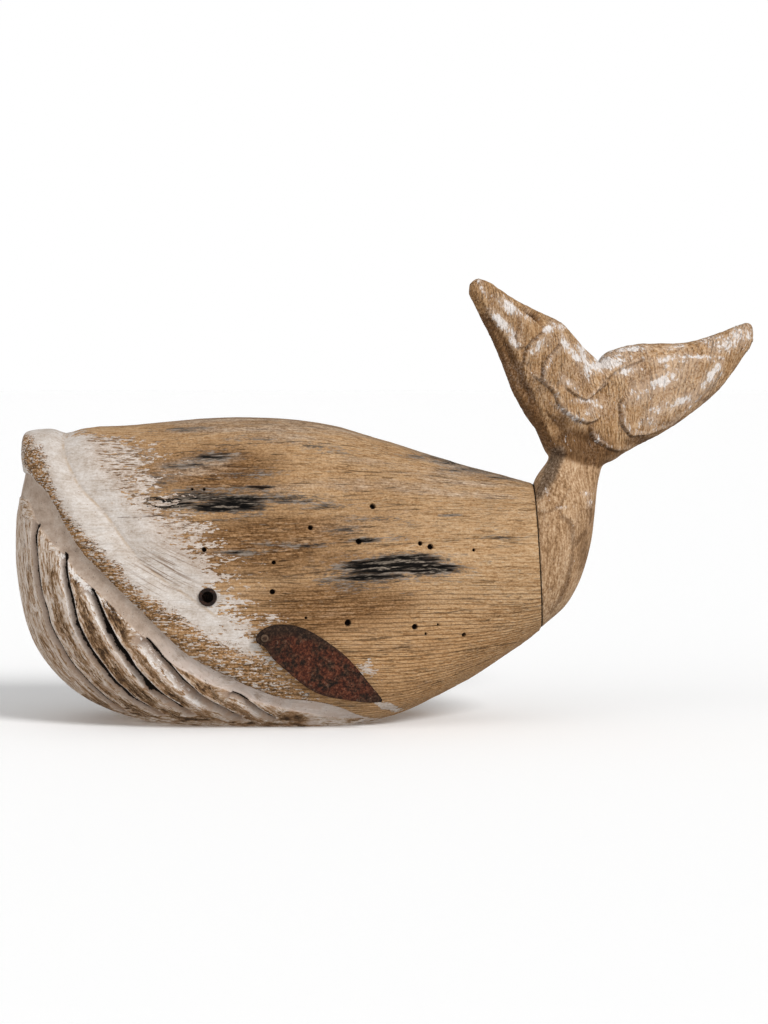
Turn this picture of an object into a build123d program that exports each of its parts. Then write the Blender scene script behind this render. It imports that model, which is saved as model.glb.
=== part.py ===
from build123d import *
import math
import os

# Carved wooden whale on its belly. Millimetres, +Z up, head towards -X.
# Origin: centre of the flat resting face, on the plane of symmetry.

# ---------------------------------------------------------------- dimensions
# Body sections: x, top z, bottom z, half width, upper and lower roundness
# exponent, height of the widest line as a fraction of the section's height.
BODY_STATIONS = [
    (-97.9, 86.6, 60.4, 5.3, 2.00, 2.00, 0.50),
    (-96.9, 99.2, 53.7, 9.3, 2.01, 2.01, 0.50),
    (-95.5, 110.6, 46.2, 14.0, 2.03, 2.03, 0.50),
    (-93.4, 115.8, 38.7, 19.1, 2.06, 2.05, 0.50),
    (-90.6, 117.6, 32.0, 24.3, 2.10, 2.08, 0.50),
    (-86.5, 118.4, 25.3, 29.6, 2.14, 2.12, 0.49),
    (-80.8, 118.6, 18.3, 34.9, 2.19, 2.19, 0.49),
    (-73.4, 118.8, 11.4, 39.7, 2.24, 2.28, 0.49),
    (-63.6, 119.6, 5.2, 43.8, 2.30, 2.41, 0.48),
    (-51.4, 120.1, 0.9, 47.1, 2.35, 2.58, 0.48),
    (-37.1, 121.3, -1.4, 49.4, 2.37, 2.78, 0.47),
    (-20.8, 122.6, -2.5, 50.0, 2.39, 2.99, 0.46),
    (-2.4, 123.2, -2.9, 49.0, 2.40, 3.17, 0.46),
    (15.9, 122.0, -2.9, 46.8, 2.40, 3.40, 0.46),
    (34.3, 119.0, -2.1, 43.4, 2.38, 3.70, 0.46),
    (52.6, 113.7, 1.4, 39.1, 2.36, 3.70, 0.47),
    (71.0, 108.1, 8.9, 34.2, 2.33, 3.15, 0.47),
    (91.4, 102.2, 19.7, 28.7, 2.26, 2.51, 0.49),
    (107.7, 97.8, 30.5, 24.5, 2.21, 2.26, 0.50),
    (124.0, 93.4, 43.6, 20.3, 2.20, 2.20, 0.50),
]
SECTION_POINTS = 28

# Glued joint between body and tail block: two points on its plane, in XZ.
JOINT_TOP = (113.0, 95.7)
JOINT_BOTTOM = (116.4, 37.2)

# Tail stock sections: left (x, z), right (x, z), half width in Y.
STOCK_SECTIONS = [
    ((113.0, 95.7), (116.4, 37.2), 22.3),
    ((113.8, 98.1), (127.4, 47.8), 21.6),
    ((115.8, 101.4), (134.3, 63.8), 19.6),
    ((117.9, 104.2), (137.9, 81.4), 16.8),
    ((119.3, 107.1), (139.5, 96.5), 13.8),
    ((119.5, 110.5), (142.2, 104.9), 12.0),
    ((117.6, 116.5), (146.0, 110.0), 11.6),
]
STOCK_EXPONENT = 2.2

# Flukes: turned about a vertical line at this x, sections run root to tip.
FLUKE_AXIS_X = 131.0
FLUKE_TURN = 30.0
# one edge (s, z, forward), other edge (s, z, forward), thickness
LEFT_LOBE = [
    ((-14.1, 109.4, 0.7), (12.4, 102.8, 0.5), 23.0),
    ((-18.3, 117.1, 1.0), (13.7, 120.0, 0.6), 22.0),
    ((-26.1, 125.5, 2.0), (12.7, 133.5, 0.5), 19.5),
    ((-32.4, 134.2, 2.9), (9.8, 144.6, 0.3), 17.5),
    ((-37.3, 143.6, 3.7), (1.2, 154.3, 0.0), 16.0),
    ((-41.6, 151.4, 4.5), (-8.8, 162.0, 0.3), 14.5),
    ((-45.9, 158.1, 5.4), (-20.5, 166.3, 1.3), 13.0),
    ((-50.2, 164.4, 6.4), (-32.0, 170.4, 2.8), 11.5),
    ((-53.5, 169.1, 7.1), (-40.0, 174.5, 4.2), 10.0),
    ((-56.0, 173.0, 7.7), (-46.5, 177.9, 5.5), 8.0),
    ((-56.1, 175.4, 7.8), (-51.1, 178.9, 6.6), 5.0),
]
RIGHT_LOBE = [
    ((-8.6, 114.2, 0.3), (12.8, 103.2, 0.5), 23.0),
    ((0.3, 130.3, 0.0), (18.4, 106.8, 1.0), 22.0),
    ((7.0, 141.7, 0.2), (29.4, 112.0, 2.4), 19.5),
    ((13.6, 149.4, 0.6), (41.9, 118.1, 4.6), 17.5),
    ((24.6, 152.5, 1.8), (52.4, 125.1, 6.9), 16.0),
    ((36.4, 153.6, 3.6), (61.0, 132.1, 9.0), 14.5),
    ((48.7, 154.2, 6.0), (68.1, 139.9, 10.4), 12.5),
    ((60.8, 156.9, 9.0), (74.2, 147.4, 10.4), 10.5),
    ((70.0, 159.9, 10.4), (78.1, 152.4, 10.4), 8.5),
    ((75.2, 161.6, 10.4), (79.8, 156.6, 10.4), 6.5),
    ((77.2, 161.7, 10.4), (79.8, 159.1, 10.4), 4.5),
]
LOBE_EXPONENT = 2.3

# Dowels across the glued joint, at this distance up and down from its middle.
DOWEL_DIAMETER = 8.0
DOWEL_LENGTH = 28.0
DOWEL_IN_TAIL = 11.0
DOWEL_UP = 15.0
DOWEL_DOWN = 7.0
DOWEL_GAP = 0.05
DOWEL_END_GAP = 1.0

# Eyes: hollow iron studs set into drilled sockets on both flanks.
EYE_X = -16.8
EYE_Z = 53.9
EYE_FLANK_Y = 50.1
EYE_DIAMETER = 6.4
EYE_RIM_DIAMETER = 7.2
EYE_BORE = 4.5
EYE_DEPTH = 7.5
EYE_FLOOR = 1.5
EYE_PROUD = 0.6
EYE_LIFT = 0.1
EYE_GAP = 0.02

# Fins: flat sheet steel on one nail each, beside the flank.
FIN_THICKNESS = 1.2
FIN_ORIGIN = (4.223, -49.985, 38.624)
FIN_ALONG = (0.8502, 0.2118, -0.4821)
FIN_OUT = (0.1698, -0.9769, -0.1296)
FIN_UPPER_EDGE = [
    (-1.7, -0.6), (-1.1, 2.2), (1.0, 5.1), (5.9, 8.4), (11.6, 10.3),
    (20.7, 10.6), (30.5, 9.4), (41.9, 5.9), (50.9, 2.4), (55.2, 0.5),
]
FIN_LOWER_EDGE = [
    (55.4, -0.5), (51.6, -2.8), (44.1, -5.8), (36.4, -8.4), (30.1, -9.5),
    (22.8, -8.9), (14.9, -7.2), (6.8, -5.0), (2.0, -3.1), (-1.7, -0.6),
]

# Nails.
NAIL_ALONG = 1.2
NAIL_SHANK = 1.6
NAIL_HEAD = 3.0
NAIL_HEAD_HEIGHT = 0.9
NAIL_DEPTH = 16.0
NAIL_FIN_GAP = 0.05
NAIL_WOOD_GAP = 0.02
NAIL_HEAD_GAP = 0.1

NODES = {}


# ------------------------------------------------------------------- helpers
def power(value, exponent):
    return math.copysign(abs(value) ** exponent, value)


def closed_face(points):
    edge = Edge.make_spline([Vector(*p) for p in points], periodic=True)
    return Face(Wire([edge]))


def oval(middle, half_a, half_b, exponent):
    """Closed section: middle + half_a * cos + half_b * sin, squared up."""
    points = []
    for i in range(SECTION_POINTS):
        angle = 2 * math.pi * (i + 0.5) / SECTION_POINTS
        a = power(math.cos(angle), 2 / exponent)
        b = power(math.sin(angle), 2 / exponent)
        points.append(tuple(m + a * p + b * q
                            for m, p, q in zip(middle, half_a, half_b)))
    return closed_face(points)


def body_section(x, top, bottom, half_width, upper, lower, widest):
    waist = bottom + widest * (top - bottom)
    points = []
    for i in range(SECTION_POINTS):
        angle = 2 * math.pi * (i + 0.5) / SECTION_POINTS
        above = math.sin(angle) >= 0
        exponent = upper if above else lower
        height = (top - waist) if above else (waist - bottom)
        points.append((x,
                       half_width * power(math.cos(angle), 2 / exponent),
                       waist + height * power(math.sin(angle), 2 / exponent)))
    return closed_face(points)


def between(a, b):
    return tuple((p + q) / 2 for p, q in zip(a, b))


def half_between(a, b):
    return tuple((q - p) / 2 for p, q in zip(a, b))


def single(shape, name):
    solids = shape.solids()
    solid = max(solids, key=lambda s: s.volume)
    solid.label = name
    NODES[name] = solid
    return solid


# ----------------------------------------------------------- the joint plane
joint_middle = Vector((JOINT_TOP[0] + JOINT_BOTTOM[0]) / 2, 0,
                      (JOINT_TOP[1] + JOINT_BOTTOM[1]) / 2)
joint_up = Vector(JOINT_TOP[0] - JOINT_BOTTOM[0], 0,
                  JOINT_TOP[1] - JOINT_BOTTOM[1]).normalized()
joint_back = Vector(joint_up.Z, 0, -joint_up.X)
joint_plane = Plane(origin=joint_middle, x_dir=(0, 1, 0), z_dir=joint_back)
behind_joint = joint_plane * Pos(0, 0, 100) * Box(400, 400, 200)
ahead_of_joint = joint_plane * Pos(0, 0, -10) * Box(80, 58.0, 20)
below_base = Pos(0, 0, -50) * Box(400, 400, 100)


def joint_point(up):
    return joint_middle + joint_up * up


def dowel(up, extra):
    """Dowel across the joint, or its hole when extra gaps are given."""
    length = DOWEL_LENGTH + 2 * (DOWEL_END_GAP if extra else 0)
    radius = DOWEL_DIAMETER / 2 + extra
    centre = joint_point(up) + joint_back * (DOWEL_IN_TAIL - DOWEL_LENGTH / 2)
    return Plane(origin=centre, z_dir=joint_back) * Cylinder(radius, length)


dowel_holes = dowel(DOWEL_UP, DOWEL_GAP) + dowel(-DOWEL_DOWN, DOWEL_GAP)

# -------------------------------------------------------- eyes, fins, nails
def eye_axis_plane(side):
    return Plane(origin=(EYE_X, side * EYE_FLANK_Y, EYE_Z), x_dir=(1, 0, 0),
                 z_dir=(0, side, 0))


def eye_stud(side):
    shank = Pos(0, 0, -EYE_DEPTH / 2) * Cylinder(EYE_DIAMETER / 2, EYE_DEPTH)
    rim = Pos(0, 0, EYE_LIFT + EYE_PROUD / 2) * Cylinder(
        EYE_RIM_DIAMETER / 2, EYE_PROUD)
    neck = Pos(0, 0, EYE_LIFT / 2) * Cylinder(EYE_DIAMETER / 2, EYE_LIFT)
    stud = shank + neck + rim
    top = stud.faces().sort_by(Axis.Z)[-1]
    stud = fillet(top.edges(), 0.3)
    bore_depth = EYE_DEPTH - EYE_FLOOR + EYE_LIFT + EYE_PROUD + 1
    bore = Pos(0, 0, EYE_FLOOR - EYE_DEPTH + bore_depth / 2) * Cylinder(
        EYE_BORE / 2, bore_depth)
    return eye_axis_plane(side) * (stud - bore)


def eye_socket(side):
    depth = EYE_DEPTH + 3
    return eye_axis_plane(side) * (
        Pos(0, 0, 3 - depth / 2) * Cylinder(EYE_DIAMETER / 2 + EYE_GAP, depth))


fin_plane = Plane(origin=FIN_ORIGIN, x_dir=FIN_ALONG, z_dir=FIN_OUT)


def nail_point(up):
    return Pos(NAIL_ALONG, 0, up)


def fin_sheet():
    upper = Edge.make_spline([Vector(x, y) for x, y in FIN_UPPER_EDGE],
                             tangents=[Vector(-0.1, 1), Vector(1, -0.45)])
    tip = Edge.make_line(Vector(*FIN_UPPER_EDGE[-1]),
                         Vector(*FIN_LOWER_EDGE[0]))
    lower = Edge.make_spline([Vector(x, y) for x, y in FIN_LOWER_EDGE],
                             tangents=[Vector(-1, -0.5), Vector(-0.1, 1)])
    outline = Face(Wire([upper, tip, lower]))
    sheet = extrude(outline, FIN_THICKNESS, dir=(0, 0, 1))
    hole = nail_point(FIN_THICKNESS / 2) * Cylinder(
        NAIL_SHANK / 2 + NAIL_FIN_GAP, FIN_THICKNESS * 3)
    return fin_plane * (sheet - hole)


def nail():
    shank_top = FIN_THICKNESS + NAIL_HEAD_GAP
    shank = nail_point((shank_top - NAIL_DEPTH) / 2) * Cylinder(
        NAIL_SHANK / 2, shank_top + NAIL_DEPTH)
    head = nail_point(shank_top + NAIL_HEAD_HEIGHT / 2) * Cylinder(
        NAIL_HEAD / 2, NAIL_HEAD_HEIGHT)
    head = fillet(head.faces().sort_by(Axis.Z)[-1].edges(), 0.5)
    return fin_plane * (shank + head)


def nail_hole():
    depth = NAIL_DEPTH + 0.3
    return fin_plane * (nail_point(-depth / 2) * Cylinder(
        NAIL_SHANK / 2 + NAIL_WOOD_GAP, depth))


# -------------------------------------------------------------------- body
body = loft([body_section(*row) for row in BODY_STATIONS])
body = body - below_base - behind_joint - dowel_holes
body = body - eye_socket(-1) - eye_socket(1)
body = body - nail_hole() - mirror(nail_hole(), about=Plane.XZ)
single(body, "body")

# -------------------------------------------------------------------- tail
stock_faces = []
for (ax, az), (bx, bz), half in STOCK_SECTIONS:
    a, b = (ax, 0, az), (bx, 0, bz)
    stock_faces.append(oval(between(a, b), half_between(a, b),
                            (0, half, 0), STOCK_EXPONENT))
# lower and upper half of the stock share the section where it narrows
stock = loft(stock_faces[:4]) + loft(stock_faces[3:])

turn = math.radians(FLUKE_TURN)
fluke_along = (math.cos(turn), math.sin(turn), 0)
fluke_front = (math.sin(turn), -math.cos(turn), 0)


def fluke_point(s, z, forward):
    return (FLUKE_AXIS_X + s * fluke_along[0] + forward * fluke_front[0],
            s * fluke_along[1] + forward * fluke_front[1], z)


def lobe(sections):
    faces = []
    for edge_a, edge_b, thickness in sections:
        a, b = fluke_point(*edge_a), fluke_point(*edge_b)
        across = tuple(thickness / 2 * c for c in fluke_front)
        faces.append(oval(between(a, b), half_between(a, b), across,
                          LOBE_EXPONENT))
    return loft(faces)


tail = stock + lobe(LEFT_LOBE) + lobe(RIGHT_LOBE)
tail = tail - ahead_of_joint - dowel_holes
single(tail, "tail")

# ------------------------------------------------------------ small pieces
single(dowel(DOWEL_UP, 0), "tail_dowel_upper")
single(dowel(-DOWEL_DOWN, 0), "tail_dowel_lower")
single(eye_stud(-1), "left_eye")
single(eye_stud(1), "right_eye")
single(fin_sheet(), "left_fin")
single(mirror(fin_sheet(), about=Plane.XZ), "right_fin")
single(nail(), "left_fin_nail")
single(mirror(nail(), about=Plane.XZ), "right_fin_nail")

# ------------------------------------------------------------------- export
os.makedirs("parts", exist_ok=True)
for name, solid in NODES.items():
    export_step(solid, os.path.join("parts", name + ".step"))
    box = solid.bounding_box()
    print(name, "volume %.1f" % solid.volume, "valid", solid.is_valid,
          "x %.2f..%.2f y %.2f..%.2f z %.2f..%.2f" % (
              box.min.X, box.max.X, box.min.Y, box.max.Y,
              box.min.Z, box.max.Z))
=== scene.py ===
import math

import bmesh
import bpy
import numpy as np
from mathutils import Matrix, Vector
from mathutils.bvhtree import BVHTree


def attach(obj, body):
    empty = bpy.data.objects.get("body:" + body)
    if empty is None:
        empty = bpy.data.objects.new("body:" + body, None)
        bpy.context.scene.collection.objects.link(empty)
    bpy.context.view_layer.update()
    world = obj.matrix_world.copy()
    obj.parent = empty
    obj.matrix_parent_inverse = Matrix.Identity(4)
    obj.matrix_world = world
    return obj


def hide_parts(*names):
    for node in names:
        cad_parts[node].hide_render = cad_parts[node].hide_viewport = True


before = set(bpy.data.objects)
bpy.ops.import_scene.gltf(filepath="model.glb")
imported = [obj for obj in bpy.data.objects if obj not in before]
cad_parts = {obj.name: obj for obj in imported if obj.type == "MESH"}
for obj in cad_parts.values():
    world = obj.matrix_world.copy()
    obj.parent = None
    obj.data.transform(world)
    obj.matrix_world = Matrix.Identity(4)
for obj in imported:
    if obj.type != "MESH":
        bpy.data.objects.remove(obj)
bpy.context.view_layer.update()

MM = 0.001

# ---------------------------------------------------------------- side view
# Points of the side view are given in units of a 768 x 1024 view and brought
# onto the object through the camera. One unit is UNIT mm in the plane y = 0.
UNIT = 0.408
VIEW_X, VIEW_Z = 256.0, 719.5
DIST = 1200.0
ELEV = math.radians(3.0)
CX, CY = 384.0, 512.0
AIM = np.array([(CX - VIEW_X) * UNIT, 0.0, (VIEW_Z - CY) * UNIT])
FWD = np.array([0.0, math.cos(ELEV), -math.sin(ELEV)])
RIGHT = np.array([1.0, 0.0, 0.0])
UP = np.cross(RIGHT, FWD)
EYEPOINT = AIM - FWD * DIST


def rays(points):
    p = np.asarray(points, float)
    return FWD * DIST + ((p[:, 0] - CX) * UNIT)[:, None] * RIGHT + \
        ((CY - p[:, 1]) * UNIT)[:, None] * UP


def mid(points):
    """Points of the side view in the plane of symmetry, mm."""
    d = rays(points)
    return EYEPOINT + d * (-EYEPOINT[1] / d[:, 1])[:, None]


def side_view(p):
    """Side-view place of points given in mm."""
    r = p - EYEPOINT
    k = DIST / (r @ FWD) / UNIT
    return CX + (r @ RIGHT) * k, CY - (r @ UP) * k


# ------------------------------------------------------------ small numerics
def pchip(x, y):
    x = np.asarray(x, float)
    y = np.asarray(y, float)
    h = np.diff(x)
    m = np.diff(y) / h
    d = np.zeros_like(y)
    d[0], d[-1] = m[0], m[-1]
    for i in range(1, len(x) - 1):
        if m[i - 1] * m[i] > 0:
            a, b = 2 * h[i] + h[i - 1], h[i] + 2 * h[i - 1]
            d[i] = (a + b) / (a / m[i - 1] + b / m[i])

    def f(q):
        q = np.clip(np.asarray(q, float), x[0], x[-1])
        i = np.clip(np.searchsorted(x, q) - 1, 0, len(h) - 1)
        t = (q - x[i]) / h[i]
        return ((1 + 2 * t) * (1 - t) ** 2 * y[i] + t * (1 - t) ** 2 * h[i] * d[i]
                + t * t * (3 - 2 * t) * y[i + 1] + t * t * (t - 1) * h[i] * d[i + 1])
    return f


def smooth(a, b, x):
    t = np.clip((np.asarray(x, float) - a) / (b - a), 0, 1)
    return t * t * (3 - 2 * t)


def bell(x, centre, width):
    return np.exp(-((x - centre) / width) ** 2)


def lattice(ix, iy, iz, seed):
    h = (ix.astype(np.int64) * 374761393 + iy.astype(np.int64) * 668265263
         + iz.astype(np.int64) * 1440662683 + seed * 974634221) & 0xFFFFFFFF
    h = ((h ^ (h >> 13)) * 1274126177) & 0xFFFFFFFF
    h = ((h ^ (h >> 15)) * 2246822519) & 0xFFFFFFFF
    return ((h ^ (h >> 16)) & 0xFFFFFF) / float(0xFFFFFF)


def noise(p, seed=0):
    f = np.floor(p).astype(np.int64)
    t = p - f
    t = t * t * t * (t * (t * 6 - 15) + 10)
    out = 0
    for dx in (0, 1):
        wx = t[:, 0] if dx else 1 - t[:, 0]
        for dy in (0, 1):
            wy = t[:, 1] if dy else 1 - t[:, 1]
            for dz in (0, 1):
                wz = t[:, 2] if dz else 1 - t[:, 2]
                out = out + wx * wy * wz * lattice(f[:, 0] + dx, f[:, 1] + dy,
                                                   f[:, 2] + dz, seed)
    return out


def fbm(p, octaves=3, seed=0, gain=0.5):
    total, amp, norm = 0, 1.0, 0.0
    for o in range(octaves):
        total = total + amp * noise(p * 2 ** o + 17.3 * o, seed + o)
        norm += amp
        amp *= gain
    return total / norm


def resample(line, step, rounds=4):
    seg = np.linalg.norm(np.diff(line, axis=0), axis=1)
    s = np.concatenate([[0], np.cumsum(seg)])
    n = max(8, int(s[-1] / step))
    q = np.linspace(0, s[-1], n)
    out = np.stack([np.interp(q, s, line[:, i]) for i in range(3)], 1)
    for _ in range(rounds):
        out[1:-1] = 0.25 * out[:-2] + 0.5 * out[1:-1] + 0.25 * out[2:]
    return out


def distance_to(p, nrm, line, reach=40.0):
    """Signed distance of points to a line on the surface (positive to the
    side of normal x direction), and the place along it from 0 to 1."""
    n = len(p)
    d = np.full(n, reach)
    u = np.zeros(n)
    lo, hi = line.min(0) - reach, line.max(0) + reach
    near = np.where(np.all((p > lo) & (p < hi), axis=1))[0]
    tan = np.gradient(line, axis=0)
    tan /= np.linalg.norm(tan, axis=1)[:, None] + 1e-9
    lf = line.astype(np.float32)
    l2 = (lf * lf).sum(1)
    for c in range(0, len(near), 40000):
        i = near[c:c + 40000]
        q = p[i]
        best = np.argmin(l2[None] - 2 * (q.astype(np.float32) @ lf.T), axis=1)
        v = q - line[best]
        t = tan[best]
        go = (v * t).sum(1)
        inner = (best > 0) & (best < len(line) - 1)
        v = v - np.where(inner, go, 0)[:, None] * t
        side = np.sign((np.cross(nrm[i], t) * v).sum(1))
        d[i] = np.clip(np.where(side == 0, 1, side) * np.linalg.norm(v, axis=1), -reach, reach)
        u[i] = best / (len(line) - 1)
    return d, u


# --------------------------------------------------------------- mesh helpers
def mesh_object(name, verts, faces):
    me = bpy.data.meshes.new(name)
    me.from_pydata([tuple(v) for v in verts], [], [tuple(f) for f in faces])
    me.update()
    ob = bpy.data.objects.new(name, me)
    bpy.context.scene.collection.objects.link(ob)
    return ob


def tube_of_rings(rings):
    """Closed skin over rings of equal size, with a fan at each end."""
    n = len(rings[0])
    verts = [v for r in rings for v in r]
    faces = []
    for i in range(len(rings) - 1):
        for j in range(n):
            k = (j + 1) % n
            faces.append((i * n + j, i * n + k, (i + 1) * n + k, (i + 1) * n + j))
    a = len(verts)
    verts.append(np.mean(rings[0], axis=0))
    verts.append(np.mean(rings[-1], axis=0))
    last = (len(rings) - 1) * n
    for j in range(n):
        k = (j + 1) % n
        faces.append((a, k, j))
        faces.append((a + 1, last + j, last + k))
    return np.array(verts), faces


def remeshed(ob, voxel, smoothing):
    m = ob.modifiers.new("voxels", "REMESH")
    m.mode = "VOXEL"
    m.voxel_size = voxel
    m.adaptivity = 0.0
    dg = bpy.context.evaluated_depsgraph_get()
    me = bpy.data.meshes.new_from_object(ob.evaluated_get(dg))
    ob.modifiers.clear()
    old = ob.data
    ob.data = me
    bpy.data.meshes.remove(old)
    relax(me, smoothing)


def coords(me):
    a = np.empty(len(me.vertices) * 3)
    me.vertices.foreach_get("co", a)
    return a.reshape(-1, 3)


def set_coords(me, p):
    me.vertices.foreach_set("co", np.ascontiguousarray(p, dtype=np.float32).ravel())
    me.update()


def normals(me):
    a = np.empty(len(me.vertices) * 3, dtype=np.float32)
    me.vertex_normals.foreach_get("vector", a)
    return a.reshape(-1, 3).astype(float)


def edges_of(me):
    e = np.empty(len(me.edges) * 2, dtype=np.int32)
    me.edges.foreach_get("vertices", e)
    return e.reshape(-1, 2)


def relax_values(values, e, n, times, factor=0.5):
    count = np.bincount(e.ravel(), minlength=n).astype(float)
    count[count == 0] = 1
    v = values
    for _ in range(times):
        if v.ndim == 1:
            s = np.bincount(e[:, 0], v[e[:, 1]], n) + np.bincount(e[:, 1], v[e[:, 0]], n)
            v = v + factor * (s / count - v)
        else:
            s = np.stack([np.bincount(e[:, 0], v[e[:, 1], i], n)
                          + np.bincount(e[:, 1], v[e[:, 0], i], n)
                          for i in range(v.shape[1])], 1)
            v = v + factor * (s / count[:, None] - v)
    return v


def relax(me, times, factor=0.5):
    p = coords(me)
    e = edges_of(me)
    for _ in range(times):
        p = relax_values(p, e, len(p), 1, factor)
        p = relax_values(p, e, len(p), 1, -factor * 1.04)
    set_coords(me, p)


def smooth_normals(me, times):
    n = relax_values(normals(me), edges_of(me), len(me.vertices), times)
    return n / (np.linalg.norm(n, axis=1)[:, None] + 1e-12)


def refine(me, pick):
    """Splits the faces whose corners are picked into four."""
    bm = bmesh.new()
    bm.from_mesh(me)
    bm.verts.ensure_lookup_table()
    edges = [e for e in bm.edges if pick[e.verts[0].index] and pick[e.verts[1].index]]
    bmesh.ops.subdivide_edges(bm, edges=edges, cuts=1, use_grid_fill=True)
    bmesh.ops.triangulate(bm, faces=[f for f in bm.faces if len(f.verts) > 4])
    bm.to_mesh(me)
    bm.free()
    me.update()


def put(me, name, values):
    values = np.asarray(values, dtype=np.float32)
    kind = "FLOAT" if values.ndim == 1 else "FLOAT_VECTOR"
    a = me.attributes.new(name, kind, "POINT")
    a.data.foreach_set("value" if kind == "FLOAT" else "vector", np.ascontiguousarray(values).ravel())


def shade_smooth(me):
    me.polygons.foreach_set("use_smooth", np.ones(len(me.polygons), dtype=bool))
    me.update()


# ------------------------------------------------------------ the body's form
TOP = [(15, 541), (16, 508), (18, 476), (20, 452), (22, 438), (25, 432.3), (30, 430.3), (40, 428.8),
       (52, 428.3), (66, 428.8), (84, 427.3), (105, 426), (130, 425), (168, 422), (204, 419),
       (240, 417.5), (264, 418), (300, 421), (336, 427), (372, 437), (408, 447.8),
       (444, 458.8), (480, 469), (516, 478.8), (541, 485.5), (560, 490.5)]
BOTTOM = [(15, 541), (16, 566), (18, 581), (20, 594), (22, 604), (25, 615.5), (30, 630.5), (40, 649.5),
          (52, 666), (66, 681), (84, 695.5), (105, 706.5), (130, 715), (168, 721), (204, 723.5),
          (240, 724.5), (264, 724.5), (300, 724.5), (336, 723), (372, 717.5), (408, 706.5),
          (444, 690), (480, 670.5), (516, 647), (541, 628), (560, 612)]
WIDTH = [(15, 0), (16, 4.5), (18, 8.5), (22, 14), (28, 20), (36, 25.5), (46, 30.5), (60, 35.5),
         (80, 40.5), (105, 44.5), (135, 47.5), (170, 49.5), (210, 50), (250, 49), (300, 46.5),
         (350, 42.5), (400, 37.5), (450, 32), (500, 26.5), (545, 22), (560, 20.3)]
NOSE_X = (15 - VIEW_X) * UNIT


def along(x):
    return np.sqrt(np.maximum(np.asarray(x, float) - NOSE_X, 0))


top_pts, bottom_pts = mid(TOP), mid(BOTTOM)
top_of = pchip(along(top_pts[:, 0]) - along(top_pts[0, 0]), top_pts[:, 2])
bottom_of = pchip(along(bottom_pts[:, 0]) - along(bottom_pts[0, 0]), bottom_pts[:, 2])
width_of = pchip([along((p - VIEW_X) * UNIT) for p, _ in WIDTH], [w for _, w in WIDTH])
upper_of = pchip([-98, -80, -50, 0, 60, 117, 125], [2.0, 2.2, 2.35, 2.4, 2.35, 2.2, 2.2])
lower_of = pchip([-98, -80, -50, -20, 10, 35, 55, 75, 97, 117, 125],
                 [2.0, 2.2, 2.6, 3.0, 3.3, 3.7, 3.7, 3.0, 2.4, 2.2, 2.2])
waist_of = pchip([-98, -60, 0, 60, 117, 125], [0.5, 0.48, 0.46, 0.47, 0.5, 0.5])

JOINT_A, JOINT_B = np.array([113.0, 0, 95.7]), np.array([116.4, 0, 37.2])
JOINT_MID = (JOINT_A + JOINT_B) / 2
JOINT_N = np.array([58.5, 0, 3.4]) / math.hypot(58.5, 3.4)


def power(v, e):
    return np.sign(v) * np.abs(v) ** e


def body_rings(count, around):
    ang = 2 * np.pi * np.arange(around) / around
    c, s = np.cos(ang), np.sin(ang)
    rings = []
    for q in np.linspace(0.35, math.sqrt(124 - NOSE_X), count):
        x = NOSE_X + q * q
        zt, zb, w = float(top_of(q)), float(bottom_of(q)), float(width_of(q))
        zw = zb + float(waist_of(x)) * (zt - zb)
        n = np.where(s >= 0, float(upper_of(x)), float(lower_of(x)))
        h = np.where(s >= 0, zt - zw, zw - zb)
        rings.append(np.stack([np.full(around, x), w * power(c, 2 / n), zw + h * power(s, 2 / n)], 1))
    return rings


def clamp_body(p):
    p = p.copy()
    p[:, 2] = np.maximum(p[:, 2], 0.0)
    over = np.maximum((p - JOINT_MID) @ JOINT_N, 0)
    return p - over[:, None] * JOINT_N


v, f = tube_of_rings(body_rings(260, 280))
body = mesh_object("whale_body", clamp_body(v) * MM, f)
remeshed(body, 0.68 * MM, 2)
bvh = BVHTree.FromObject(body, bpy.context.evaluated_depsgraph_get())


def cast(tree, points, second=False):
    """Side-view points brought onto a surface, mm."""
    out = []
    o = Vector(EYEPOINT * MM)
    for d, m in zip(rays(points), mid(points)):
        d = Vector(d).normalized()
        hit = tree.ray_cast(o, d)[0]
        if hit is not None and second:
            far = tree.ray_cast(hit + d * 0.002, d)[0]
            hit = far if far is not None else hit
        if hit is None:
            hit = tree.find_nearest(Vector(m * MM))[0]
        out.append(np.array(hit) / MM)
    return np.array(out)


def on_body(points, start=None, step=0.4):
    line = cast(bvh, points)
    if start is not None:
        line = np.vstack([start, line])
    return resample(line, step)


# Carved lines of the head, from the chin's front edge backwards.
LIP = [(27, 473.5), (33.7, 480.6), (41, 487), (47, 493.5), (51, 502), (57, 512), (62, 523), (68.4, 533.7),
       (75.5, 545), (83.7, 556), (92, 564), (100.7, 572.5), (109.4, 582), (118, 590.5), (127, 599.5),
       (137.6, 609), (148.4, 620), (159.3, 630.5), (170.2, 641), (180.8, 651), (191.5, 659), (201, 664.3),
       (211, 669.4), (221.4, 674.5), (231.6, 679), (242, 684.5), (252, 688.5), (262, 692.5), (272, 696),
       (282.5, 699), (293, 699.8), (304, 700.5), (317, 702.3), (331, 705), (344, 709.4), (356, 714.8)]
CHANNEL = [(24, 499), (28, 506.5), (31.5, 518), (37.5, 528), (44, 537), (51, 545), (59, 551.5), (64, 556),
           (69, 565), (76, 574.5), (85.5, 583), (91.6, 589), (99, 595), (107, 603), (115, 611), (122.3, 619),
           (134, 630.5), (144, 639), (159, 654.3), (170, 664), (178, 670), (191, 676.5), (199, 682),
           (208, 686), (219.4, 690), (227.6, 693), (237, 697), (252, 703), (267, 707), (285, 711.5),
           (310, 715.5), (335, 719)]
VALLEY = [(62.5, 441), (64, 454), (70, 469), (75.5, 481), (82, 490), (92, 499.5), (103, 511), (113, 525),
          (123, 540), (131, 550.5), (137, 559), (147, 567), (165, 581), (190, 597), (215, 615)]
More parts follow.
